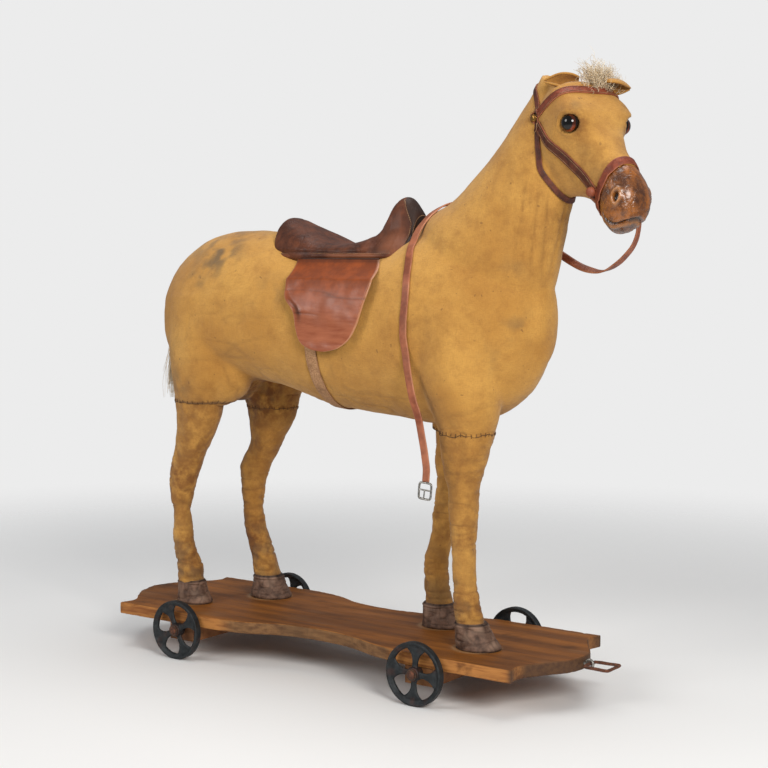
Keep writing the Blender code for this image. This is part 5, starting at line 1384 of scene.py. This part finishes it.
# the rolled edge, from the front of one side round the rear to the other
def makeRim():
    size = saddle["rim"]
    knots = [(row[0], row[1] - size["inset"], size["height"] + 0.7 * max(0.0, row[2] - 0.575))
             for row in saddle["rings"][::-1]]
    knots += [(size["behind"], 0.012, 0.581)]
    knots += [(x, -y, z) for x, y, z in knots[::-1]]
    line = evenly(through(knots, 900), 360)
    line[:, 2] += 0.0005 * noise(line, 0.03, 76)
    share = np.linspace(-1, 1, len(line))
    radii = size["radius"] * np.sqrt(np.clip(1 - share ** 20, 0.06, 1))
    form = tubeAlong(line + shift, radii, 24)
    # the rolled edge is paler all along: worn leather with a painted highlight line
    worn = within(0.45 + 0.5 * noise(form[0], 0.03, 77))
    makePiece("saddleRim", form, looks["seat"], {"shade": 0, "worn": worn}, ())
    x, y, _ = line.T
    outward = unit(np.stack((0.3 * np.sign(x) * (np.abs(x) > 0.1), np.sign(y), 0.9 + 0 * x), 1))
    row = stitchRow((line + outward * size["radius"] * 1.02 + shift)[8:-8], outward[8:-8],
                    step=0.0034, length=0.003, radius=0.00034)
    makePiece("saddleStitches", gathered(row), looks["thread"])


# the sewn lines round the pommel's lining
def makeLiningSeams(seat):
    seam, level, slope = saddle["seam"]
    heights = np.linspace(0.598, 0.661, 60)
    x = seam - slope * np.clip(heights - level, 0, None) - 0.0008
    forms = []
    for _, sign in bothSides:
        starts = np.stack((x, np.full(60, outside * sign), heights), 1) + shift
        spots, outward = castOn(seat, starts, np.tile((0.0, -sign, 0.0), (60, 1)))
        forms += stitchRow(spots + outward * 0.0003, outward, step=0.0032, length=0.0034,
                           radius=0.0005)
    makePiece("liningStitches", gathered(forms), looks["welt"])
    turn = np.linspace(-0.12, math.pi + 0.12, 70)
    arch = np.stack((0.1402 + 0 * turn, -0.0288 * np.cos(turn), 0.6 + 0.0372 * np.sin(turn)), 1)
    row = stitchRow(arch + shift, np.tile((1.0, 0.0, 0.0), (70, 1)), step=0.003,
                    length=0.0032, radius=0.0004)
    makePiece("pommelStitches", gathered(row), looks["thread"])


# flaps that hang from a bead at each side of the seat

flap = {
    "outline": (
        (-0.048, 0.5695), (-0.041, 0.53), (-0.038, 0.516), (-0.014, 0.49), (-0.012, 0.466),
        (-0.004, 0.446), (0.02, 0.434), (0.044, 0.431), (0.07, 0.437), (0.091, 0.452),
        (0.104, 0.474), (0.1115, 0.5), (0.1165, 0.52), (0.119, 0.538), (0.1155, 0.553),
        (0.108, 0.5695),
    ),
    # the outline's lowest knot, and the heights between which the flap hangs
    "foot": 7, "from": 0.57, "to": 0.4313,
    "thickness": 0.003, "bead": 0.002, "side": 0.0675, "top": 0.5703,
}


# how far from the middle the flap's inner face hangs at a height
def flapInner(height):
    widths = []
    for _, half, _, widest, top in body[4:7]:
        rise = within((height - widest) / (top - widest))
        widths.append(half * np.sqrt(1 - rise ** 2))
    share = within((flap["top"] - height) / 0.03)
    inner = flap["side"] - flap["thickness"] / 2
    return inner * (1 - share) + (np.max(widths, axis=0) + 0.0045) * share


def makeFlap(name, sign, look):
    foot, high, low, thick = (flap[k] for k in ("foot", "from", "to", "thickness"))
    drop = np.linspace(0.0, 1.0, 130)
    z = high + (low - high) * (1 - (1 - drop) ** 1.7) ** (1 / 1.05)
    z = np.linspace(high, low, 130) * 0.35 + z * 0.65
    ends = []
    for knots in (flap["outline"][: foot + 1], flap["outline"][: foot - 1 : -1]):
        line = through(knots, 200)
        line = line[np.argsort(line[:, 1])]
        ends.append(np.interp(z, line[:, 1], line[:, 0])[:, None])
    start, stop = ends
    across = np.linspace(0.0, 1.0, 70)[None]
    x = start + (stop - start) * across
    height = z[:, None] + 0 * x
    y = flapInner(height)
    flat = np.stack((x, y, height), -1)
    wave = 0.001 * noise(flat, (0.05, 0.05, 0.03), 81) + 0.0004 * noise(flat, 0.014, 82)
    line = 0.0009 * creases(flat, (0.09, 0.09, 0.011), 83, 0.25) * bell(height - 0.505, 0.022)
    free = smoothstep(0.566, 0.545, height)
    curl = bell(x - start, 0.007) * bell(height - 0.497, 0.02)
    y = y + (0.0004 + np.clip(wave, -0.0006, 0.002) + 0.5 * line) * free + 0.0045 * curl
    y = y + 0.0016 * smoothstep(0.448, 0.432, height)
    edge = np.minimum(across, 1 - across) * (stop - start)
    # the edge is rounded over its last 1.6 mm
    full = np.sqrt(within(1 - (1 - within(edge / 0.0016)) ** 2))
    outward = np.array((0, sign, 0))
    inner = np.stack((x, sign * y, height), -1)
    outer = inner + outward * (thick * (0.35 + 0.65 * full) + 0.0018 * curl)[..., None]
    inner = inner + outward * (0.3 * thick * (1 - full))[..., None]
    points, faces = closedLoft(np.concatenate((inner, outer[:, ::-1]), 1))
    shade = within(-line / 0.0006) * 0.35 + 0.5 * bell(height - 0.5675, 0.003)
    shade = shade + 0.8 * bell(x - start - 0.0085, 0.0042) * bell(height - 0.493, 0.016)
    border = 1 - smoothstep(0.0006, 0.003, edge)
    # paler towards the bottom, partly a painted reflection
    pale = smoothstep(0.545, 0.455, height)
    values = {
        "low": (pale, pale, (0, 1)),
        "worn": (0.8 * (0.3 * border), 0.8 * border, (0, 0)),
        "shade": (within(shade, 0.9), within(shade[:, ::-1], 0.9), (0, 0)),
    }
    values = {key: np.append(np.concatenate((first, second), 1), poles)
              for key, (first, second, poles) in values.items()}
    makePiece(f"saddleFlap_{name}", (points + shift, faces), look, values,
              (f"saddle_flap_{name}",), f"saddle_flap_{name}_body")
    x = np.linspace(flap["outline"][0][0] + 0.001, flap["outline"][-1][0] - 0.001, 60)
    line = np.stack((x, sign * flap["side"] + 0 * x, flap["top"] + 0 * x), 1)
    makePiece(f"flapBead_{name}", tubeAlong(line + shift, flap["bead"], 12), looks["seat"],
              {"shade": 0.5, "worn": 0}, (), f"saddle_flap_{name}_body")


def makeGirth(look):
    centre = np.array((0.008, 0.0, 0.455)) + shift
    line = loopOn(hide, centre, (0, -1, 0), (0, 0, -1), (-62, 242), 220)
    form, worn, _ = ribbonOn(hide, *line, 0.021, 0.0018, 240, calm=8)
    makePiece("girthWeb", form, look, {"edge": worn}, ("girth",))


seat = makeSeat()
makeRim()
makeLiningSeams(seat)
sideLook = flapLook()
for name, sign in bothSides:
    makeFlap(name, sign, sideLook)
makeGirth(webbingLook())
print("saddle")


# the loose rein with its buckle

rein = {
    "width": 0.0118, "thickness": 0.0026,
    # place, and the direction out of the strap
    "knots": (
        (0.509, -0.014, 0.632, 1, 0, 0), (0.503, -0.006, 0.611, 1, 0, 0),
        (0.493, 0.004, 0.595, 0.7, 0, -0.7), (0.477, 0.014, 0.58, 0.3, 0, -1),
        (0.453, 0.028, 0.565, 0, 0, -1), (0.422, 0.044, 0.555, 0, 0.3, -1),
        (0.385, 0.057, 0.56, 0, 0.7, -0.7), (0.343, 0.063, 0.58, 0, 1, -0.3),
        (0.298, 0.067, 0.605, 0, 1, 0.2), (0.251, 0.062, 0.632, 0, 1, 0.5),
        (0.211, 0.038, 0.651, -0.3, 0.6, 1), (0.192, 0.009, 0.655, -0.4, 0.2, 1),
        (0.183, -0.018, 0.648, -0.4, -0.4, 1), (0.172, -0.034, 0.633, -0.3, -0.7, 1),
        (0.163, -0.046, 0.614, -0.1, -0.9, 0.8), (0.161, -0.058, 0.592, 0, -0.9, 0.6),
        (0.169, -0.077, 0.567, 0, -0.9, 0.5), (0.175, -0.091, 0.54, 0, -1, 0.3),
        (0.179, -0.101, 0.511, 0, -1, 0.1), (0.179, -0.104, 0.482, 0, -1, 0),
        (0.18, -0.105, 0.45, 0, -1, 0), (0.185, -0.107, 0.421, 0, -1, 0),
        (0.191, -0.109, 0.395, 0, -1, 0), (0.199, -0.11, 0.367, 0, -1, 0),
        (0.209, -0.11, 0.341, 0, -1, 0), (0.215, -0.11, 0.315, 0, -1, 0),
        (0.221, -0.11, 0.286, 0, -1, 0), (0.224, -0.11, 0.266, 0, -1, 0),
        (0.223, -0.11, 0.249, 0, -1, 0),
    ),
    "buckle": {"length": 0.024, "width": 0.021, "wire": 0.0016, "bar": 0.0012},
}


def makeBuckle(end, run):
    size = rein["buckle"]
    side = unit(np.array((1.0, 0, 0)) - run * run[0])
    out = np.cross(side, run)
    out = out * np.sign(-out[1])
    middle = end + run * (0.0003 + size["wire"]) + run * size["length"] / 2
    turn = angles(72)[:, None]
    across = signedPower(np.cos(turn), 0.35) * size["width"] / 2
    along = signedPower(np.sin(turn), 0.35) * size["length"] / 2
    bar = middle - 0.05 * size["length"] * run
    t = np.linspace(0, 1, 12)[:, None]
    prong = bar + out * 0.0012 + run * size["length"] * 0.5 * t + out * 0.0012 * t
    forms = (
        tubeAlong(middle + across * side + along * run, size["wire"], 12, True),
        tubeAlong(bar + side * size["width"] / 2 * (2 * t - 1), size["bar"], 12),
        tubeAlong(prong, 0.001, 10),
    )
    return makePiece("reinBuckle", gathered(forms), looks["steel"], None, ("rein_buckle",))


def makeRein():
    table = np.array(rein["knots"], float)
    places = table[:, :3] + shift
    points = evenly(through(table[:, :3], 1200), 330) + shift
    away = np.linalg.norm(points[:, None] - places[None], axis=2)
    along = runOf(points)
    across = unit(np.cross(along, bell(away, 0.025) @ unit(table[:, 3:])))
    facing = unit(np.cross(across, along))
    width, thick = rein["width"], rein["thickness"]
    # keep the strap just clear of the cloth under it
    for _ in range(2):
        push = np.zeros(len(points))
        for share in (-0.8, 0.0, 0.8):
            for k, spot in enumerate(points + across * width / 2 * share):
                near, normal, _, _ = hide.find_nearest(Vector(spot), 0.03)
                if near is None:
                    continue
                need = thick / 2 + 0.0006 - (Vector(spot) - near).dot(normal)
                lean = max(0.3, abs(normal.dot(Vector(facing[k]))))
                push[k] = max(push[k], min(need, 0.006) / lean if need > 0 else 0.0)
        push = np.maximum(push, averaged(push, 6))
        points = points + facing * push[:, None]
    path = averaged(points, 2)
    heights = np.tile((section[:, 1] - 0.5) * thick, (len(path), 1))
    (flat, _), _ = strapForm(path, across, facing, width, heights)
    flat = flat[:-2].reshape(len(path), len(section), 3)
    form, worn = strapForm(path, across, facing, width, heights + 0.0003 * noise(flat, 0.012, 91))
    worn = within(wornBy(form[0], worn, 0.8) + 0.3 * within(noise(form[0], 0.03, 92)))
    strap = makePiece("reinStrap", form, looks["rein"], {"worn": worn, "shade": 0}, ("rein",))
    buckle = makeBuckle(path[-1], unit(points[-1] - points[-3]))


makeRein()
print("rein")


# wheels

wheel = {
    "radius": 0.047, "rim": 0.006, "depth": 0.0075, "lip": 0.0028, "web": 0.0025,
    "height": 0.047014, "track": 0.1455,
    # distance along the axle and radius
    "hub": ((-0.0085, 0.7), (-0.0083, 0.9), (-0.0075, 1.0), (0.0, 1.02), (0.006, 1.0),
            (0.0068, 0.9), (0.007, 0.7)), "hubRadius": 0.0105,
    # distance from the axle and half width
    "spoke": ((0.0085, 0.0052), (0.014, 0.0046), (0.02, 0.005), (0.026, 0.0068),
              (0.031, 0.01), (0.0355, 0.015), (0.04, 0.0215)),
    # x, side and turn
    "places": {"front_right": (0.171564, -1, 4), "front_left": (0.171564, 1, 50),
               "rear_right": (-0.289636, -1, 62), "rear_left": (-0.289636, 1, 20)},
}


def wheelForm():
    radius, rim, web = wheel["radius"], wheel["rim"], wheel["web"]
    seat, lip = radius - wheel["depth"], radius - wheel["lip"]
    side = ((seat, web), (lip - 0.0008, rim - 0.0008), (lip, rim), (radius - 0.0006, rim),
            (radius, rim - 0.0008))
    profile = np.array((
        *side[3:], (radius, 0.0), *((r, -y) for r, y in side[::-1]), (seat - 0.001, 0.0),
        *side[:3],
    ))
    along, r = np.array(wheel["hub"]).T[..., None]
    forms = [ringLoft(turned(*profile.T, angles(144)[:, None])),
             closedLoft(turned(wheel["hubRadius"] * r, along, angles(64)))]
    turn = angles(24)
    r, half = through(wheel["spoke"], 40).T[..., None]
    side = half * signedPower(np.cos(turn), 0.5)
    thick = web * signedPower(np.sin(turn), 0.8) + 0 * r
    reach = np.sqrt(np.maximum(r * r - 0.25 * side ** 2, 0))
    for facing in np.arange(4) * math.pi / 2:
        cos, sin = math.cos(facing), math.sin(facing)
        forms.append(closedLoft(
            np.stack((reach * cos - side * sin, thick, reach * sin + side * cos), -1)))
    points, faces = mergedSkin(forms, voxel=0.00095, rounds=2)
    width, _, height = np.ptp(points, axis=0)
    grow = 2 * radius / max(width, height)
    return points * (grow, 1.0, grow), faces


def makeWheels(look):
    form, faces = wheelForm()
    for name, (x, sign, spin) in wheel["places"].items():
        cos, sin = math.cos(-math.radians(spin)), math.sin(-math.radians(spin))
        points = np.stack((form[:, 0] * cos - form[:, 2] * sin, form[:, 1] * sign,
                           form[:, 0] * sin + form[:, 2] * cos), 1)
        away = np.hypot(points[:, 0], points[:, 2])
        rust = 0.9 * smoothstep(0.0115, 0.007, away)
        rust += 0.5 * within(noise(points, 0.012, 95 + len(name)) - 0.15)
        points = points + (x, sign * wheel["track"], wheel["height"])
        rough = 0.00022 * noise(points, 0.003, 96) * smoothstep(0.046, 0.044, away)
        points = points + rough[:, None] * vertexNormals(points, faces)
        makePiece(f"wheelCast_{name}", (points, faces), look, {"rust": within(rust)},
                  (f"wheel_{name}",), f"wheel_{name}_body")


makeWheels(ironLook())
print("wheels")


# board

board = {
    "top": 0.073014, "bottom": 0.054114, "half": 0.13475, "bevel": 0.0016,
    "front": 0.3848, "rear": -0.366,
    # x and half width
    "waist": ((-0.16, 0.13475), (-0.11, 0.12667), (-0.05, 0.101), (0.015, 0.093),
              (0.075, 0.099), (0.14, 0.12128), (0.205, 0.13475)),
    # share of the half width, and how far the end stands out there
    "frontEnd": ((0.0, 0.043), (0.18, 0.03956), (0.52, 0.01376), (0.78, -0.004), (1.0, 0.0)),
    "rearEnd": ((0.0, 0.0516), (0.3, 0.04), (0.55, 0.01806), (0.78, -0.004), (1.0, 0.0)),
    # rings down the edge: share of the bevel, height from the top or the bottom, chips, edge look
    "edge": (
        (0.3, "top", -0.0004, 1.0, 0.75), (0.05, "top", -0.0012, 0.75, 0.9),
        (0.0, "top", -0.003, 0.35, 1.0), (0.0, "top", -0.0075, 0.0, 1.0),
        (0.0, "bottom", 0.006, 0.0, 1.0), (0.0, "bottom", 0.002, 0.25, 1.0),
        (0.35, "bottom", 0.0005, 0.5, 1.0), (1.0, "bottom", 0.0, 0.4, 0.6),
    ),
}


# flat grid of the board's outline, and the indexes round its edge
def boardPlan(stations, columns):
    x = np.linspace(board["rear"], board["front"], stations)[:, None]
    across = np.linspace(-1.0, 1.0, columns)[None]
    waist = through(board["waist"], 300)
    half = np.interp(x, waist[:, 0], waist[:, 1], board["half"], board["half"])
    front, rear = (through(board[key], 200) for key in ("frontEnd", "rearEnd"))
    front, rear = (np.interp(np.abs(across), end[:, 0], end[:, 1]) for end in (front, rear))
    ahead, behind = within((x - 0.26) / 0.1248), within((-0.24 - x) / 0.126)
    plan = np.stack((x + ahead * front - behind * rear, half * across), -1)
    index = np.arange(stations * columns).reshape(stations, columns)
    edge = np.concatenate((index[:, 0], index[-1, 1:], index[-2::-1, -1], index[0, -2:0:-1]))
    return plan.reshape(-1, 2), index, edge


def makeBoard(look):
    flat, index, edge = boardPlan(300, 71)
    line = flat[edge]
    run = unit(np.roll(line, -1, 0) - np.roll(line, 1, 0))
    out = np.stack((run[:, 1], -run[:, 0]), -1)
    if ((line - line.mean(0)) * out).sum() < 0:
        out = -out
    place = np.hstack((line, np.zeros((len(line), 1))))
    chip = within(noise(place, 0.016, 101) - 0.42) * 0.0065
    chip = chip + 0.0005 * (noise(place, 0.006, 102) + 0.4)
    chipped = np.clip(chip, 0, None)
    dented = np.clip(0.001 * noise(place, 0.035, 103), 0, None) * 0.5
    bevel, top, bottom = board["bevel"], board["top"], board["bottom"]
    rings, kinds = [], []
    for inset, level, height, share, kind in board["edge"]:
        ring = line - out * (inset * bevel + share * chipped + dented)[:, None]
        drop = share * chip * (0.35 if level == "top" else -0.35)
        rings.append(np.column_stack((ring, board[level] + height - drop)))
        kinds.append(np.full(len(line), kind))
    inner = flat.copy()
    inner[edge] = line - out * (bevel + chipped * 1.25)[:, None]
    upper, lower = (np.column_stack((inner, np.full(len(inner), z))) for z in (top, bottom))
    upper[:, 2] -= 0.0003 + 0.00025 * noise(upper * (0.25, 1, 1), (0.012, 0.006, 1), 104)
    upper[edge, 2] = top - 0.0002 - 0.3 * chipped
    count, border, last = len(flat), len(edge), len(flat) + len(edge) * len(rings)
    vertices = np.vstack((upper, *rings, lower))
    quads = np.stack((index[:-1, :-1], index[1:, :-1], index[1:, 1:], index[:-1, 1:]), -1)
    quads = quads.reshape(-1, 4)
    faces = [quads, quads[:, ::-1] + last]
    starts = count + border * np.arange(len(rings))
    loops = [edge, *(start + np.arange(border) for start in starts), edge + last]
    for first, second in zip(loops, loops[1:]):
        faces.append(np.stack((first, second, np.roll(second, -1), np.roll(first, -1)), -1))
    near = np.zeros(count)
    near[edge] = 0.55
    x, y, z = vertices.T
    cut = smoothstep(-0.16, -0.12, x) * smoothstep(0.19, 0.16, x) * (z < top - 0.001)
    # painted shade on the board's front and rear ends
    endShade = smoothstep(0.374, 0.388, x) + smoothstep(-0.375, -0.385, x)
    # pale dust round the hooves
    dust = 0.25 * within(noise(vertices * (0.3, 1, 1), 0.02, 105) - 0.35)
    for hoofX, hoofY, r in hooves.values():
        dust += 0.55 * bell(np.hypot(x - hoofX, y - hoofY) - r - 0.002, 0.0035)
    dust *= z > top - 0.001
    makePiece("boardPlank", (vertices + (shift[0], 0.0, 0.0), np.vstack(faces).tolist()), look,
              {"edge": np.concatenate((near, *kinds, np.full(count, 0.5))),
               "grey": within(cut) * 0.8, "endShade": within(endShade, 0.85),
               "dust": within(dust, 0.6)}, ("base_board",))


makeBoard(boardLook())
print("board")


# pull link and its eye

hitch = {
    "x": 0.377564, "z": 0.063564, "eye": 0.0058, "wire": 0.0022, "length": 0.043,
    "root": 0.018, "tip": 0.02, "bar": 0.0024, "corner": 0.004, "drop": 0.0007,
    "screwEnd": 0.348764,
}


def makeHitch():
    centre = np.array((hitch["x"], 0.0, hitch["z"]))
    ring = centre + turned(hitch["eye"], 0.0, angles(48))
    x = np.linspace(hitch["screwEnd"], hitch["x"] - hitch["eye"], 10)
    shank = np.stack((x, 0 * x, hitch["z"] + 0 * x), 1)
    forms = (tubeAlong(ring, hitch["wire"], 16, True), tubeAlong(shank, hitch["wire"], 16))
    makePiece("hitchEye", gathered(forms), looks["steel"], None, ("hitch_eye",))
    long, root, tip, corner = (hitch[k] for k in ("length", "root", "tip", "corner"))
    half = [(0, root - corner), (0.25 * corner, root - 0.25 * corner), (corner, root),
            (0.5 * long, (root + tip) / 2), (long - 2 * corner, tip),
            (long - 1.2 * corner, tip - 0.2 * corner), (long - corner, tip - corner)]
    outline = [*((x, -y) for x, y in half), (long - corner, 0), *half[::-1], (0, 0)]
    path = through(outline, 160, closed=True)
    path = np.column_stack((path, np.full(160, -hitch["drop"]))) + centre
    radii = hitch["bar"] * (1 + 0.06 * noise(path, 0.008, 111))
    makePiece("pullLink", tubeAlong(path, radii, 16, True), looks["rust"], None, ("pull_link",),
              "pull_link_body")


makeHitch()
print("hitch")


# finishes for the model's own small pieces, by how their names start
finishes = {
    "axle_block": "wood", "body_plank": "wood", "neck_post": "wood", "axle_washer": "darkIron",
    "axle": "rust", "block_screw": "darkIron", "leg_rod": "darkIron", "rod_nut": "darkIron",
}
for name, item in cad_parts.items():
    if not item.hide_render:
        kind = next(kind for start, kind in finishes.items() if name.startswith(start))
        item.data.materials.clear()
        item.data.materials.append(looks[kind])
print("finishes")
